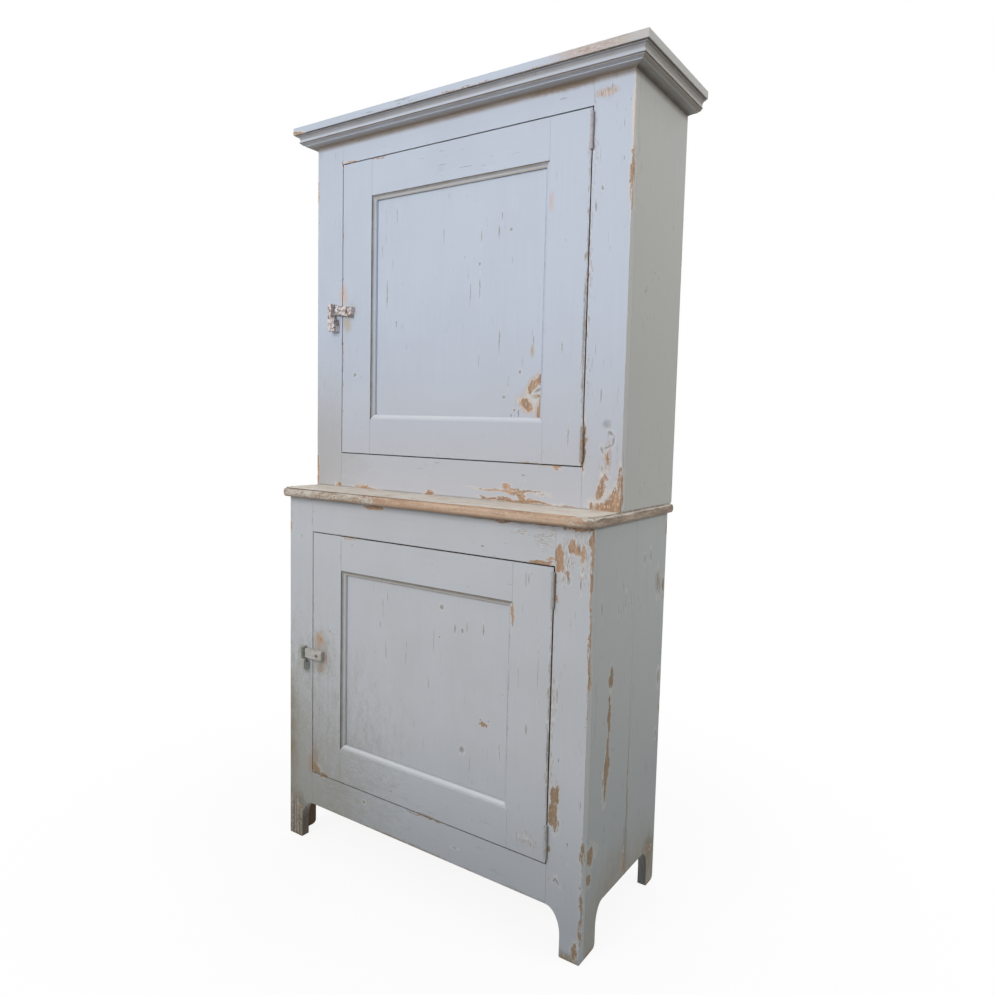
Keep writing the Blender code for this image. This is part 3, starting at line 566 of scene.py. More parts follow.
def raw_pine(name, along, shift):
    """Old unpainted pine: rings along the board, darker latewood, knots and a grey bloom of dust."""
    material, shader, place = finish(name)
    colour, rings = pine_colour(place, along, shift)
    late = place.noise(150, GRAIN[along], shift + 2, detail=2).rise(0.56, 0.66)
    colour = (late * 0.5).mix(colour, tint(140, 96, 60))
    knots = place.noise(13, drawn_out(along, 0.04), shift + 4, detail=1).rise(0.74, 0.80)
    colour = (knots * 0.8).mix(colour, tint(92, 58, 36))
    dust = place.noise(5, (1, 1, 1), shift + 6).rise(0.35, 0.75)
    colour = (dust * 0.35).mix(colour, tint(158, 146, 128))
    colour.into(shader, "Base Color")
    (dust * 0.1 + 0.68).into(shader, "Roughness")
    (rings * 0.6 - late * 0.3 - knots * 0.3).relief(shader, 0.4, 0.0012)
    return material


for case in ("base", "upper"):
    for number, plank in enumerate(("left", "middle", "right")):
        dress(f"{case}_back_plank_{plank}", raw_pine(f"{case} {plank} back plank", "z", 3.1 * number), 0.001)
    dress(f"{case}_floor", raw_pine(f"{case} floor", "x", 11.0))
for number, shelf in enumerate(("base_shelf", "upper_shelf_low", "upper_shelf_high")):
    dress(shelf, raw_pine(shelf.replace("_", " "), "x", 14.0 + number), 0.001)
    cleat_pine = raw_pine(shelf.replace("_", " ") + " cleats", "y", 17.0 + number)
    for side in ("left", "right"):
        dress(f"{shelf}_cleat_{side}", cleat_pine)

# Worktop
# One wide pine board with a quirk and a rounded nose on three sides, nailed down on the base. Scrubbing has
# left the top cream and taken the nose down to the wood, with old paint left at its corners.
material, shader, place = finish("scrubbed worktop")
x, _, z = place.axes()
grain = place.noise(90, GRAIN["x"], 2.0, detail=4)
mottle = place.noise(50, (2.5, 1, 1), 4.0, detail=6, rough=0.7)
specks = place.noise(260, (2, 1, 1), 6.0, detail=3, rough=0.7)
top = grain.rise(0.3, 0.7).mix(tint(204, 193, 179), tint(226, 220, 209))
top = (mottle.rise(0.52, 0.62) * 0.55).mix(top, tint(188, 160, 136))
top = (specks.rise(0.58, 0.64) * 0.4).mix(top, CHALK)
nose = (grain * 0.6 + mottle * 0.4).rise(0.38, 0.62).mix(tint(158, 125, 100), tint(196, 168, 144))
nose = (specks.rise(0.56, 0.62) * 0.5).mix(nose, tint(206, 194, 178))
crust = (mottle * 0.7 + specks * 0.6 - 0.15).rise(0.42, 0.60).mix(tint(142, 126, 110), tint(200, 194, 184))
end_grain = place.noise(70, (1, 6, 1), 8.0, detail=5, rough=0.7)
end_crust = (end_grain * 0.8 + specks * 0.4 - 0.1).rise(0.40, 0.62)
end_crust = end_crust.mix(tint(116, 95, 76), tint(178, 160, 142))
# A painted highlight along the upper edge of the worktop's ends.
lip_highlight = (z - worktop_high.z + 0.008 + (end_grain - 0.5) * 0.02).rise(0.0, 0.004)
end_crust = (lip_highlight * 0.85).mix(end_crust, tint(212, 206, 196))
left = (-0.15 - x + (mottle - 0.5) * 0.5).rise(-0.03, 0.03)
nose = (left * 0.85).mix(nose, crust)
nose = (x - 0.430 + (mottle - 0.5) * 0.2).rise(0.0, 0.02).mix(nose, crust)
nose = (abs(x) - 0.468).rise(0.0, 0.006).mix(nose, end_crust)
edge = (worktop_high.z - 0.0005 - z).rise(0.0, 0.0003)
colour = edge.mix(top, nose)
# Painted shade in the quirk along the front, strongest at the left.
quirk = edge * (z - (worktop_high.z - 0.0032)).rise(0.0, 0.0004)
colour = (quirk * (0.40 - x)).mix(colour, tint(100, 90, 80))
# Painted shade on the underside of the nose.
under = (worktop_low.z + 0.008 - z).rise(0.0, 0.007)
colour = (under * 0.6).mix(colour, tint(126, 100, 78))
colour.into(shader, "Base Color")
(mottle * 0.15 + 0.5).into(shader, "Roughness")
(grain * 0.4 + mottle * 0.4 + specks * 0.3).relief(shader, 0.4, 0.001)
dress("base_worktop", material)

# Upper case: side boards and face frame
# Made as the base is, but of one wide board to a side, and stood loose on the worktop. Its paint is a paler
# blue-grey, worn bare along the foot of the frame where things are pushed about on the worktop.
upper_blue = tint(192, 201, 216)
# The sides' grey stands for the front's paint as it looks in shade: warmer and less blue.
upper_side_shaded_grey = tint(190, 190, 185)
# Greyer and a little darker towards the worktop.
upper_tone_below = (1.45, 0.46, tint(186, 184, 186), 0.65)
upper_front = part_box("upper_stile_left")[0].y
upper_frame_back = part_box("upper_stile_left")[1].y
upper_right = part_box("upper_side_right")[1].x
upper_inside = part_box("upper_side_right")[0].x
case_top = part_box("cornice_front")[0].z
upper_gap = door_gap("upper", 0.35)
upper_frame_paint = {
    "tone_below": upper_tone_below,
    "flank": (upper_right, upper_side_shaded_grey),
    "gap": upper_gap,
    "raw": behind_frame(upper_frame_back, upper_right),
    "stains_and_shade": front_stains_and_shade(upper_front, ((-0.480, 1.060, 0.260, 0.300), tint(150, 140, 120), 0.28)),
    # Lines of dirt and painted shade under the cornice and along the foot of the frame on the worktop.
    "lined": [(case_top, 0.016, 0.75, tint(124, 104, 82)), (worktop_high.z, 0.004, 0.5, DIRT_AND_SHADE)],
    "shift": 21.0,
}
dress(
    "upper_stile_right",
    painted(
        "upper right stile", upper_blue, "z",
        worn=on_front(
            upper_front,
            (0.440, 0.981, 0.044, 0.018),
            (0.459, 0.998, 0.022, 0.026),
            (0.424, 1.026, 0.011, 0.034, -16),
            (0.4705, 1.040, 0.004, 0.034),
            (0.437, 1.093, 0.003, 0.018),
            (0.378, 1.115, 0.004, 0.055),
            (0.385, 1.132, 0.002, 0.010, -20),
            (0.4705, 1.690, 0.005, 0.070),
        ),
        scored=on_front(
            upper_front,
            (0.402, 1.862, 0.026, 0.014),
            (0.425, 1.040, 0.014, 0.050),
            (0.378, 1.400, 0.006, 0.320),
            (0.378, 1.750, 0.006, 0.120),
        ),
        scars=on_front(
            upper_front,
            (0.403, 1.666, 0.003, 0.005),
            (0.388, 1.632, 0.002, 0.013),
            (0.442, 1.147, 0.008, 0.004, -35),
            (0.449, 1.130, 0.003, 0.012, -10),
            (0.436, 1.117, 0.012, 0.003, 20),
            (0.422, 1.110, 0.003, 0.010, 15),
        ),
        **dict(
            upper_frame_paint,
            stains_and_shade=front_stains_and_shade(
                upper_front,
                ((0.4705, 1.800, 0.010, 0.120), UNDERCOAT, 0.8),
                ((0.437, 1.090, 0.012, 0.050), tint(168, 140, 122), 0.6),
                ((0.404, 1.862, 0.040, 0.014), tint(188, 160, 142), 0.7),
                ((0.431, 1.166, 0.016, 0.014), tint(150, 152, 156), 0.7),
            ),
        ),
    ),
    JOINT,
)
dress(
    "upper_stile_left",
    painted(
        "upper left stile", upper_blue, "z",
        worn=on_front(
            upper_front,
            (-0.4705, 1.018, 0.006, 0.040),
            (-0.4705, 1.780, 0.003, 0.030),
            (-0.385, 0.983, 0.014, 0.006),
            (-0.374, 1.843, 0.006, 0.008),
        ),
        **dict(
            upper_frame_paint, gap=None,
            stains_and_shade=[
                *front_stains_and_shade(upper_front, ((-0.376, 1.492, 0.014, 0.046), tint(204, 184, 176), 0.7)),
                *upper_frame_paint["stains_and_shade"],
            ],
        ),
    ),
    JOINT,
)
dress(
    "upper_rail_top",
    painted(
        "upper top rail", upper_blue, "x",
        worn=on_front(upper_front, (-0.345, 1.843, 0.022, 0.003)),
        busy=-0.02,
        **dict(
            upper_frame_paint,
            # Brown under the cornice at the right: dirt and painted shade.
            stains_and_shade=front_stains_and_shade(upper_front, ((0.330, 1.897, 0.160, 0.018), tint(112, 90, 66), 0.7)),
        ),
    ),
    JOINT,
)
dress(
    "upper_rail_bottom",
    painted(
        "upper bottom rail", upper_blue, "x",
        worn=on_front(
            upper_front,
            (0.174, 1.012, 0.013, 0.010),
            (0.180, 1.003, 0.085, 0.004),
            (0.216, 0.993, 0.011, 0.010),
            (0.225, 0.982, 0.080, 0.005),
            (0.130, 0.984, 0.030, 0.003),
            (0.350, 0.980, 0.022, 0.002),
            (0.312, 1.067, 0.014, 0.003),
            (0.285, 1.070, 0.030, 0.001),
            (-0.280, 0.981, 0.040, 0.005),
            (-0.060, 0.982, 0.016, 0.006),
        ),
        busy=-0.02, **upper_frame_paint,
    ),
    JOINT,
)
upper_side_paint = painted(
    "upper side", upper_side_shaded_grey, "z",
    worn=on_side(upper_right, (0.212, 1.400, 0.002, 0.300)),
    # A line of dirt and painted shade under the cornice.
    lined=[(case_top, 0.018, 0.55, DIRT_AND_SHADE)],
    tone_below=(1.85, 0.6, tint(140, 142, 138), 0.20), raw=inside_sides(upper_inside), shift=25.0,
)
for side in ("left", "right"):
    dress(f"upper_side_{side}", upper_side_paint)

# Cornice
# A cap board on top of the case, and a moulding planed in one length, mitred round the front corners and
# nailed up under the cap. The quirks and the undersides of the mouldings are painted darker, with dirt and
# painted shade.
cap_low, cap_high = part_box("cornice_cap")
dress(
    "cornice_cap",
    painted(
        "cap board", upper_blue, "x",
        worn=on_front(
            cap_low.y,
            (-0.500, cap_low.z + 0.003, 0.030, 0.004),
            (0.100, cap_low.z, 0.300, 0.0006),
        ),
        scored=on_front(cap_low.y, (0.400, cap_low.z + 0.010, 0.070, 0.009)),
        stains_and_shade=front_stains_and_shade(
            cap_low.y,
            ((0.400, cap_low.z + 0.009, 0.150, 0.022), tint(186, 160, 142), 0.75),
            ((0.510, cap_low.z + 0.009, 0.090, 0.022), tint(190, 184, 176), 0.70),
        ),
        # A dark line of dirt and painted shade in the quirk under the cap.
        lined=[(cap_low.z, 0.0007, 0.9, DIRT_AND_SHADE)], flank=(cap_high.x, upper_side_shaded_grey), shift=31.0,
    ),
    0.001,
)
moulding_coat = tint(196, 203, 215)
# Bands of dirt and painted shade in the quirk, at the cove's top, under the arris and on the ovolo.
moulding_dirt_and_shade_lines = [
    (cap_low.z - 0.0008, 0.0020, 0.70, DIRT_AND_SHADE),
    (cap_low.z - 0.0060, 0.0080, 0.62, tint(118, 108, 100)),
    (cap_low.z - 0.0184, 0.0013, 0.90, DIRT_AND_SHADE),
    (cap_low.z - 0.0212, 0.0036, 0.75, tint(120, 110, 102)),
]
for part, coat, along, soffit_dirt_and_shade in (
    ("front", moulding_coat, "x", tint(152, 136, 118)),
    ("left", upper_side_shaded_grey, "y", tint(84, 74, 64)),
    ("right", upper_side_shaded_grey, "y", tint(84, 74, 64)),
):
    # The soffit, and on the sides the ovolo too, get a further band of dirt and painted shade.
    lines = [*moulding_dirt_and_shade_lines, (cap_low.z - 0.0285, 0.0042, 1.0, soffit_dirt_and_shade)]
    if part != "front":
        lines.append((cap_low.z - 0.0215, 0.0050, 0.6, DIRT_AND_SHADE))
    dress(f"cornice_{part}", painted(f"cornice {part}", coat, along, lined=lines, shift=32.0), 0.0003)

# Doors
# Grooved frames with the moulding stuck on their inner edges, round a flat panel that is free to shrink.
# Each is painted with its case. Hands and the turn bars have worn the paint along the free edge.
upper_panel_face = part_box("upper_door_panel")[0].y
base_panel_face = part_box("base_door_panel")[0].y
upper_panel_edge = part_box("upper_door_stile_hinge")[0].x
base_panel_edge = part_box("base_door_stile_hinge")[0].x
door_worn = {
    "upper_door_panel": on_front(
        upper_panel_face,
        (0.239, 1.257, 0.034, 0.009, 48),
        (0.217, 1.203, 0.022, 0.010, -38),
        (0.256, 1.186, 0.008, 0.034),
        (0.249, 1.227, 0.012, 0.003, 12),
    ),
    "upper_door_stile_latch": on_front(
        upper_front,
        (-0.373, 1.300, 0.001, 0.120),
        (-0.373, 1.600, 0.001, 0.120),
    ),
    "upper_door_stile_hinge": on_front(upper_front, (0.373, 1.115, 0.003, 0.050)),
    "upper_door_rail_top": on_front(upper_front, (-0.250, 1.837, 0.030, 0.001)),
    "upper_door_rail_bottom": on_front(upper_front, (0.240, 1.073, 0.030, 0.001)),
    "base_door_panel": on_front(base_panel_face, (0.187, 0.463, 0.013, 0.005)),
    "base_door_stile_latch": on_front(
        base_front,
        (-0.340, 0.574, 0.003, 0.012),
        (-0.358, 0.214, 0.018, 0.014),
        (-0.330, 0.206, 0.014, 0.006),
        (-0.371, 0.640, 0.001, 0.060),
    ),
    "base_door_stile_hinge": on_front(base_front, (0.268, 0.748, 0.005, 0.032)),
    "base_door_rail_top": on_front(base_front, (-0.241, 0.857, 0.021, 0.002)),
    "base_door_rail_bottom": on_front(base_front, (0.024, 0.202, 0.055, 0.0015)),
}
door_grubby = {
    "upper_door_stile_hinge": on_front(upper_front, (0.374, 1.450, 0.006, 0.500)),
    "base_door_stile_hinge": on_front(base_front, (0.372, 0.530, 0.006, 0.400)),
}
door_scored = {
    "upper_door_stile_hinge": on_front(upper_front, (0.371, 1.400, 0.005, 0.420)),
    "base_door_stile_hinge": on_front(
        base_front, (0.369, 0.520, 0.004, 0.320), (0.320, 0.236, 0.034, 0.020)
    ),
}
door_stains_and_shade = {
    "upper_door_panel": front_stains_and_shade(
        upper_panel_face,
        ((0.240, 1.222, 0.030, 0.040), UNDERCOAT, 0.6),
        ((0.236, 1.255, 0.050, 0.019, 48), tint(186, 162, 140), 1.0),
        ((0.247, 1.240, 0.016, 0.006, 28), tint(128, 118, 106), 0.9),
        ((0.245, 1.226, 0.018, 0.008), tint(148, 138, 110), 0.9),
        ((0.217, 1.204, 0.040, 0.022, -38), tint(200, 158, 132), 1.0),
        ((0.252, 1.186, 0.016, 0.042), tint(186, 156, 128), 1.0),
        ((0.229, 1.330, 0.007, 0.022), tint(172, 158, 134), 0.9),
    ),
    "upper_door_stile_latch": front_stains_and_shade(
        upper_front,
        ((-0.366, 1.492, 0.016, 0.046), tint(204, 184, 176), 0.7),
        ((-0.356, 1.420, 0.022, 0.036), tint(180, 168, 146), 0.75),
        ((-0.340, 1.455, 0.030, 0.024), tint(176, 170, 156), 0.5),
    ),
    "upper_door_stile_hinge": front_stains_and_shade(
        upper_front,
        ((0.276, 1.655, 0.010, 0.034), tint(200, 178, 176), 0.6),
        ((0.369, 1.370, 0.006, 0.150), tint(116, 110, 106), 0.8),
        # A painted shadow line along the panel's moulding on the hinge side.
        ((upper_panel_edge, 1.460, 0.010, 0.420), tint(150, 158, 176), 0.8),
    ),
    "base_door_stile_hinge": front_stains_and_shade(
        base_front,
        ((0.368, 0.450, 0.005, 0.060), tint(104, 100, 98), 0.8),
        # A painted shadow line along the panel's moulding on the hinge side.
        ((base_panel_edge, 0.540, 0.010, 0.330), tint(126, 132, 142), 0.8),
    ),
    "base_door_stile_latch": front_stains_and_shade(
        base_front,
        ((-0.340, 0.535, 0.060, 0.090), tint(150, 144, 130), 0.5),
        ((-0.346, 0.572, 0.022, 0.034), tint(178, 152, 130), 0.9),
        ((-0.321, 0.526, 0.006, 0.022), tint(172, 136, 132), 0.8),
        ((-0.342, 0.496, 0.018, 0.026), tint(160, 142, 126), 0.8),
        ((-0.362, 0.240, 0.020, 0.070), tint(150, 126, 108), 0.7),
    ),
}
door_scars = {
    "upper_door_panel": on_front(
        upper_panel_face,
        (-0.191, 1.686, 0.0013, 0.025),
        (0.078, 1.604, 0.0013, 0.018),
        (0.163, 1.611, 0.0040, 0.004),
        (0.137, 1.645, 0.0011, 0.011),
        (0.075, 1.541, 0.0025, 0.004),
        (0.076, 1.482, 0.0016, 0.026),
        (0.048, 1.471, 0.0012, 0.030),
        (-0.223, 1.490, 0.0020, 0.041),
        (0.136, 1.352, 0.0015, 0.033),
        (0.077, 1.313, 0.0012, 0.015),
        (0.232, 1.352, 0.0014, 0.015),
        (0.197, 1.283, 0.0040, 0.005),
        (0.152, 1.224, 0.0060, 0.004),
        (0.195, 1.185, 0.0014, 0.013),
        (0.164, 1.259, 0.0011, 0.015),
        (0.198, 1.210, 0.0025, 0.008),
        (0.184, 1.194, 0.0040, 0.003),
        (0.195, 1.189, 0.0020, 0.010),
        (0.175, 1.181, 0.0030, 0.004),
    ),
    "upper_door_stile_latch": on_front(upper_front, (-0.326, 1.282, 0.0060, 0.004, 40)),
    "upper_door_stile_hinge": on_front(
        upper_front, (0.337, 1.140, 0.0013, 0.027), (0.315, 1.332, 0.0013, 0.016)
    ),
    "base_door_panel": on_front(
        base_panel_face,
        (0.059, 0.723, 0.0060, 0.006),
        (0.100, 0.677, 0.0030, 0.012),
        (0.122, 0.676, 0.0040, 0.006),
        (0.135, 0.687, 0.0013, 0.015),
        (0.054, 0.649, 0.0030, 0.003),
        (0.036, 0.632, 0.0010, 0.027),
        (0.182, 0.687, 0.0013, 0.015),
        (-0.118, 0.586, 0.0013, 0.029),
        (0.179, 0.475, 0.0030, 0.003),
        (0.201, 0.476, 0.0030, 0.003),
        (0.126, 0.390, 0.0070, 0.009),
        (-0.022, 0.417, 0.0013, 0.016),
        (0.240, 0.548, 0.0020, 0.005),
        (0.234, 0.411, 0.0011, 0.024),
    ),
    "base_door_stile_latch": on_front(base_front, (-0.267, 0.819, 0.0013, 0.036)),
    "base_door_stile_hinge": on_front(
        base_front,
        (0.301, 0.825, 0.0013, 0.022),
        (0.309, 0.825, 0.0013, 0.014),
        (0.338, 0.621, 0.0010, 0.053),
        (0.312, 0.489, 0.0013, 0.014),
        (0.288, 0.597, 0.0010, 0.029),
    ),
}
# Bands across the door mouldings: dirt and painted shade in the top moulding's quirk and toe with a painted
# highlight between, a painted highlight on the bottom moulding where it faces up, and painted shade in the
# latch-side moulding.
door_moulding_dirt_shade_and_highlight = {
    "rail_top": [
        (0.0010, 0.0030, 0.95, DIRT_AND_SHADE),
        (0.0056, 0.0032, 0.6, tint(214, 200, 176)),
        (0.0104, 0.0026, 0.9, DIRT_AND_SHADE),
    ],
    "rail_bottom": [(0.0050, 0.0050, 0.45, tint(232, 235, 238))],
    "stile_latch": [(0.0010, 0.0034, 0.9, tint(106, 104, 94))],
}
MOULDING_WIDTH = 0.0124
for node, worn in door_worn.items():
    part = node.split("_door_")[1]
    low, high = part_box(node)
    bare_from = (low.y + high.y) / 2 if part == "panel" else high.y - PAINT_STOPS

    def behind_door(x, y, z):
        return y - bare_from

    def moulded(x, y, z):
        if part == "rail_top":
            return low.z + MOULDING_WIDTH - z
        return z - (high.z - MOULDING_WIDTH) if part == "rail_bottom" else x - (high.x - MOULDING_WIDTH)

    if node.startswith("upper"):
        face, coat, tone_below, gap, rim, shift = upper_front, upper_blue, upper_tone_below, upper_gap, 1.0, 21.0
        bloom = []
    else:
        face, coat, tone_below, gap, rim, shift = base_front, base_grey, base_tone_below, base_gap, 0.4, 1.0
        bloom = damp(base_panel_face if part == "panel" else face)
    door_paint = painted(
        node.replace("_", " "), coat, "x" if "rail" in part else "z",
        worn=worn, scored=door_scored.get(node, ()), grubby=door_grubby.get(node, ()),
        scars=door_scars.get(node, ()), stains_and_shade=door_stains_and_shade.get(node, []) + bloom, tone_below=tone_below,
        sunk=(face, moulded, door_moulding_dirt_shade_and_highlight[part]) if part in door_moulding_dirt_shade_and_highlight else None,
        gap=None if part == "stile_latch" else gap,
        raw=behind_door, rim=rim, busy=-0.02, shift=shift,
    )
    dress(node, door_paint, 0.00015)

# Butt hinges
# Wrought leaves let into the door and the frame, painted over with the rest, so that only the knuckles
# show. Use has rubbed the paint off the knuckles. Three slotted screws hold each leaf.


def painted_iron(name, coat, rubbed, shift):
    """Iron under house paint, rubbed through and rusty in places."""
    material, shader, place = finish(name)
    rub = place.noise(110, (1, 1, 2), shift, detail=5, rough=0.7).rise(0.46, 0.56)
    colour = (rub * rubbed).mix(coat, tint(160, 134, 108))
    rust = place.noise(300, (1, 1, 2), shift + 2).rise(0.54, 0.62)
    colour = (rust * rubbed).mix(colour, tint(96, 84, 70))
    colour.into(shader, "Base Color")
    (rub * 0.1 + 0.5).into(shader, "Roughness")
    (1 - rub).relief(shader, 0.3, 0.0005)
    return material


def rusty_steel(name):
    """Screw and nail steel, dull with brown rust."""
    material, shader, place = finish(name)
    rust = place.noise(700, (1, 1, 1), 3.0).rise(0.42, 0.6)
    rust.mix(tint(124, 116, 108), tint(90, 66, 50)).into(shader, "Base Color")
    (rust * 0.3 + 0.4).into(shader, "Roughness")
    (0.9 - rust * 0.7).into(shader, "Metallic")
    return material


screw_steel = rusty_steel("rusty screw steel")


def pick_faces(thing, wanted):
    """In edit mode, selects the faces whose middle and normal are wanted, and no others."""
    mesh = bmesh.from_edit_mesh(thing.data)
    bpy.ops.mesh.select_all(action="DESELECT")
    bpy.ops.mesh.select_mode(type="FACE")
    for face in mesh.faces:
        face.select_set(bool(wanted(face.calc_center_median(), face.normal)))
    bmesh.update_edit_mesh(thing.data)


def fastener_head(name, radius, proud, slot):
    """A round head at the origin, facing up: a low dome with an eased rim, and a sawn slot if it has one."""
    bpy.ops.object.select_all(action="DESELECT")
    bpy.ops.mesh.primitive_cylinder_add(vertices=20, radius=radius, depth=2 * proud)
    head = bpy.context.object
    head.name = name
    bpy.ops.object.mode_set(mode="EDIT")
    pick_faces(head, lambda middle, normal: normal.z > 0.9)
    bpy.ops.mesh.inset(thickness=radius * 0.25, depth=proud * 0.3)
    if slot:
        for side in (-1, 1):
            bpy.ops.mesh.select_all(action="SELECT")
            bpy.ops.mesh.bisect(plane_co=(0, side * slot / 2, 0), plane_no=(0, 1, 0))
        pick_faces(head, lambda middle, normal: normal.z > 0.5 and abs(middle.y) < slot * 0.45)
        bpy.ops.mesh.extrude_region_move(TRANSFORM_OT_translate={"value": (0, 0, -proud * 0.9)})
    bpy.ops.mesh.select_all(action="SELECT")
    bpy.ops.mesh.normals_make_consistent(inside=False)
    bpy.ops.object.mode_set(mode="OBJECT")
    return head


def set_in(name, head, spots, body, material):
    """Copies of a head at each spot (its place, the way it faces and its turn), joined in one piece."""
    copies = []
    for place, facing, turn in spots:
        bpy.ops.object.select_all(action="DESELECT")
        head.select_set(True)
        bpy.context.view_layer.objects.active = head
        bpy.ops.object.duplicate()
        copy = bpy.context.object
        copy.matrix_world = (
            Matrix.Translation(place)
            @ Vector(facing).to_track_quat("Z", "Y").to_matrix().to_4x4()
            @ Matrix.Rotation(turn, 4, "Z")
        )
        bpy.ops.object.transform_apply()
        copies.append(copy)
    bpy.ops.object.select_all(action="DESELECT")
    for copy in copies:
        copy.select_set(True)
    bpy.context.view_layer.objects.active = copies[0]
    bpy.ops.object.join()
    bpy.ops.object.shade_smooth_by_angle(angle=math.radians(30))
    piece = bpy.context.object
    piece.name = name
    piece.data.name = name
    piece.data.materials.clear()
    piece.data.materials.append(material)
    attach(piece, body)


LEAF_PROUD = 0.0007
SCREW_BEHIND_FACE = 0.0095
leaf_screw = fastener_head("leaf_screw", radius=0.0030, proud=0.0002, slot=0.0008)
hinge_coats = {
    "base": {"low": (tint(166, 168, 170), 0.3), "high": (tint(166, 168, 170), 0.3)},
    "upper": {"low": (tint(160, 152, 144), 0.75), "high": (tint(188, 184, 190), 0.2)},
}
for case, body in (("base", "base"), ("upper", "upper_case")):
    irons = {}
    for height, (coat, rubbed) in hinge_coats[case].items():
        irons[height] = painted_iron(f"{case} {height} hinge iron", coat, rubbed, 51.0)
    for leaf, wing, rides in (("frame", -1, body), ("door", 1, f"{case}_door")):
        spots = []
        for height in ("low", "high"):
            node = f"{case}_hinge_{height}_{leaf}_leaf"
            dress(node, irons[height], 0.0003)
            low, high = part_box(node)
            face = upper_front if case == "upper" else base_front
            if leaf == "frame":
                leaf_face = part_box(f"{case}_stile_right")[0].x - LEAF_PROUD
            else:
                leaf_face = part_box(f"{case}_door_stile_hinge")[1].x + LEAF_PROUD
            for share in (0.16, 0.5, 0.84):
                place = (leaf_face, face + SCREW_BEHIND_FACE, low.z + (high.z - low.z) * share)
                spots.append((place, (wing, 0, 0), 0.7 + 2.3 * share))
        set_in(f"{case}_{leaf}_leaf_screws", leaf_screw, spots, rides, screw_steel)
bpy.data.objects.remove(leaf_screw)

# Latches
# A wooden turn bar on a screw in the door's free edge drops behind a hooked wooden keeper on the frame.
# Both are thick with old paint, cracked and chipped by use. Two screws hold the keeper.


def crackled(name, coat, along, cracked, shift):
    """Thick old paint, cracked along the grain, with dirt in the cracks and a few chips to the wood."""
    material, shader, place = finish(name)
    drift = place.noise(120, (1, 1, 1), shift, detail=3)
    cracks = place.noise(110, drawn_out(along, 0.08), shift + 2, detail=3, rough=0.6)
    cracks = (0.042 - abs(cracks - 0.5)).rise(0.0, 0.03) * drift.rise(0.40, 0.50)
    chips = place.noise(80, drawn_out(along, 0.06), shift + 4, detail=5, rough=0.7).rise(0.58, 0.61)
    colour = (drift.rise(0.44, 0.62) * (0.7 * cracked)).mix(coat, tint(152, 145, 136))
    colour = (chips * (0.9 * cracked)).mix(colour, tint(150, 124, 100))
    colour = (cracks * (0.9 * cracked)).mix(colour, tint(84, 74, 68))
    colour.into(shader, "Base Color")
    (drift * 0.2 + 0.45).into(shader, "Roughness")
    (drift * 0.4 - cracks - chips * 0.6).relief(shader, 0.5, 0.001)
    return material


KEEPER_SCREW_IN = 0.010
KEEPER_SCREW_ACROSS = 0.007
keeper_screw = fastener_head("keeper_screw", radius=0.0030, proud=0.0005, slot=0.0008)
for case, bar_coat, keeper_coat, cracked, body in (
    ("base", tint(188, 185, 180), tint(176, 179, 173), 0.3, "base"),
    ("upper", tint(222, 214, 216), tint(222, 214, 216), 1.0, "upper_case"),
):
    for part, coat, along in (("bar", bar_coat, "x"), ("keeper", keeper_coat, "z")):
        node = f"{case}_latch_{part}"
        latch_paint = crackled(node.replace("_", " "), coat, along, cracked, 61.0)
        dress(node, latch_paint, 0.0006)
    dress(f"{case}_latch_screw", screw_steel, 0.0003)
    low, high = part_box(f"{case}_latch_keeper")
    spots = []
    for height, turn in ((low.z + KEEPER_SCREW_IN, 0.4), (high.z - KEEPER_SCREW_IN, 1.3)):
        spots.append(((low.x + KEEPER_SCREW_ACROSS, low.y, height), (0, -1, 0), turn))
    set_in(f"{case}_keeper_screws", keeper_screw, spots, body, latch_paint)
bpy.data.objects.remove(keeper_screw)

# Back plank nails
# Cut nails with flat round heads, driven through the back planks into the case, three to a plank at the
# foot, at half height and at the top. None stands quite in line.
NAIL_IN = 0.020
nail_head = fastener_head("nail_head", radius=0.0032, proud=0.0002, slot=None)
for case, body in (("base", "base"), ("upper", "upper_case")):
    spots = []
    for plank in ("left", "middle", "right"):
        low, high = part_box(f"{case}_back_plank_{plank}")
        for row, height in enumerate((low.z + NAIL_IN, (low.z + high.z) / 2, high.z - NAIL_IN)):
            for column, share in enumerate((0.06, 0.5, 0.94)):
                stray = 0.004 * math.sin(5 * row + 3 * column + 40 * low.x)
                place = (low.x + (high.x - low.x) * share + stray, high.y, height + stray)
                spots.append((place, (0, 1, 0), 0.0))
    set_in(f"{case}_plank_nails", nail_head, spots, body, screw_steel)
bpy.data.objects.remove(nail_head)

# Floor, light and camera
# A pale studio floor that fades into white, a large soft lamp in front and above, weaker ones at the right
# and behind, and a little light all round. The camera stands at the right at chest height and looks slightly
# down, as the photograph was taken.


def looked_at(field):
    """1 for what the camera sees, straight, mirrored or through glass, and 0 for what only gives light."""
    rays = ("Is Camera Ray", "Is Glossy Ray", "Is Transmission Ray")
    straight, mirrored, through = [field.node("ShaderNodeLightPath", out=ray) for ray in rays]
    return straight.most(mirrored).most(through)


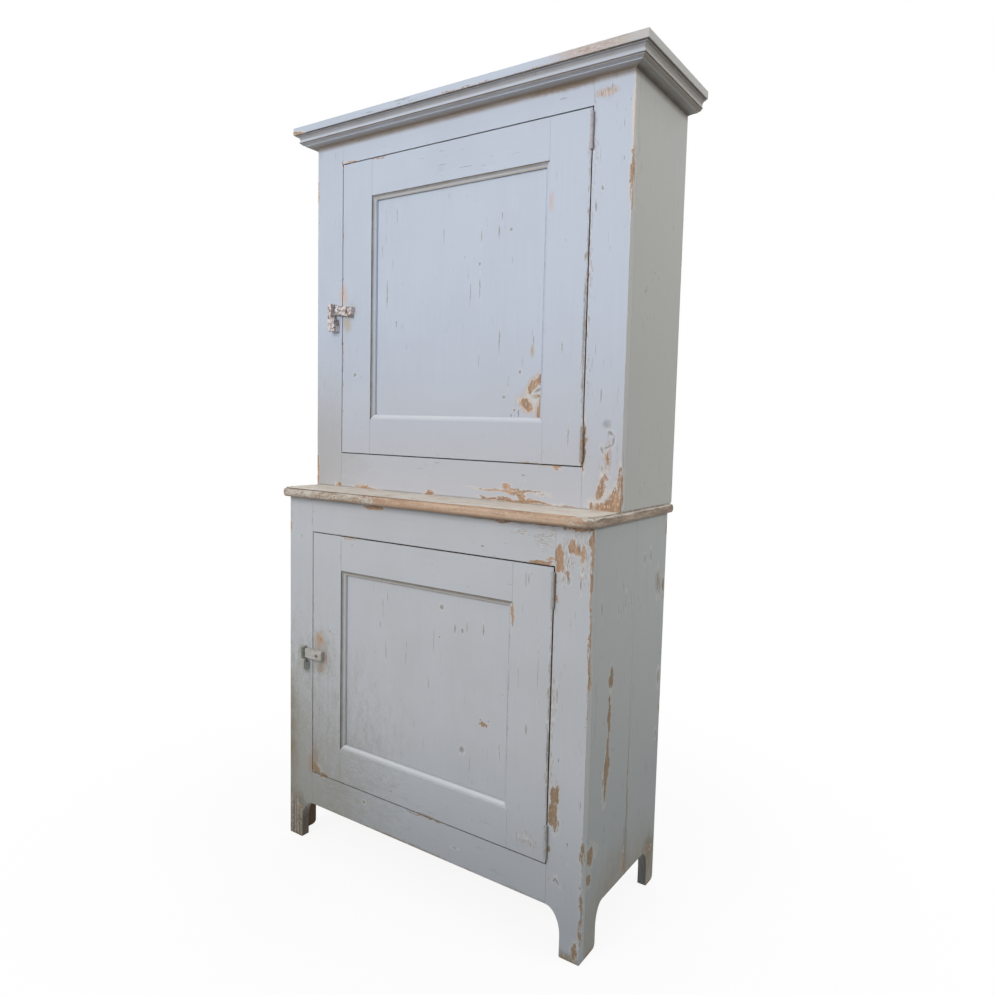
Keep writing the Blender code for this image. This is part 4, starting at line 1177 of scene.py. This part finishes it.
WHITE = (1, 1, 1, 1)
bpy.ops.object.select_all(action="DESELECT")
bpy.ops.mesh.primitive_plane_add(size=30, location=(0, 0, -0.0005))
floor = bpy.context.object
floor.name = "floor"
material, shader, place = finish("pale floor")
shown = looked_at(place)
shown.mix((0.34, 0.34, 0.34, 1), (0.9, 0.9, 0.9, 1)).into(shader, "Base Color")
shader.inputs["Roughness"].default_value = 0.9
white = place.node("ShaderNodeEmission", {}, {"Color": WHITE, "Strength": 1.0})
away = place.node("ShaderNodeVectorMath", {"operation": "LENGTH"}, {0: place}, out="Value")
shaded = Field(place.tree, shader.outputs["BSDF"])
sockets = {0: shown * (0.90 + away.rise(0.4, 1.5) * 0.10), 1: shaded, 2: white}
surface = place.node("ShaderNodeMixShader", {}, sockets)
place.tree.links.new(surface.socket, place.tree.nodes["Material Output"].inputs["Surface"])
floor.data.materials.append(material)

world = bpy.data.worlds.new("studio")
bpy.context.scene.world = world
world.use_nodes = True
tree = world.node_tree
sky = Field(tree, tree.nodes["Background"].outputs["Background"])
up = sky.node("ShaderNodeTexCoord", out="Generated").axes()[2].most(0.0)
(up * up).mix((0.14, 0.14, 0.14, 1), WHITE).into(tree.nodes["Background"], "Color")
tree.nodes["Background"].inputs["Strength"].default_value = 0.85
white = sky.node("ShaderNodeBackground", {}, {"Color": WHITE, "Strength": 1.0})
surface = sky.node("ShaderNodeMixShader", {}, {0: looked_at(sky), 1: sky, 2: white})
tree.links.new(surface.socket, tree.nodes["World Output"].inputs["Surface"])


def soft_lamp(name, power, place, aim):
    lamp = bpy.data.lights.new(name, "AREA")
    lamp.size = 1.8
    lamp.energy = power
    lamp_object = bpy.data.objects.new(name, lamp)
    lamp_object.location = place
    lamp_object.rotation_euler = (Vector(aim) - Vector(place)).to_track_quat("-Z", "Y").to_euler()
    bpy.context.scene.collection.objects.link(lamp_object)


soft_lamp("front lamp", 63, (-0.3, -2.9, 2.3), (0.0, -0.1, 1.5))
soft_lamp("side lamp", 43, (3.5, 0.7, 2.5), (0.4, 0.0, 1.9))
soft_lamp("back lamp", 24, (-1.6, 3.4, 2.3), (0.0, 0.2, 1.1))

COLUMNS, ROWS = 994, 995
FOCAL_LENGTH, MIDDLE_COLUMN, MIDDLE_ROW = 762.17, 507.21, 487.62  # in pixels of the picture
camera = bpy.data.cameras.new("camera")
camera.sensor_fit = "VERTICAL"
camera.sensor_height = 36
camera.lens = camera.sensor_height * FOCAL_LENGTH / ROWS
camera.shift_x = (COLUMNS / 2 - MIDDLE_COLUMN) / ROWS
camera.shift_y = (MIDDLE_ROW - ROWS / 2) / ROWS
camera_object = bpy.data.objects.new("camera", camera)
turn = Matrix.Rotation(math.radians(33.772), 4, "Z")
turn = turn @ Matrix.Rotation(math.radians(85.111), 4, "X") @ Matrix.Rotation(math.radians(1.399), 4, "Z")
camera_object.matrix_world = Matrix.Translation((1.1743, -1.5717, 1.1645)) @ turn
bpy.context.scene.collection.objects.link(camera_object)
bpy.context.scene.camera = camera_object
bpy.context.scene.view_settings.view_transform = "Standard"
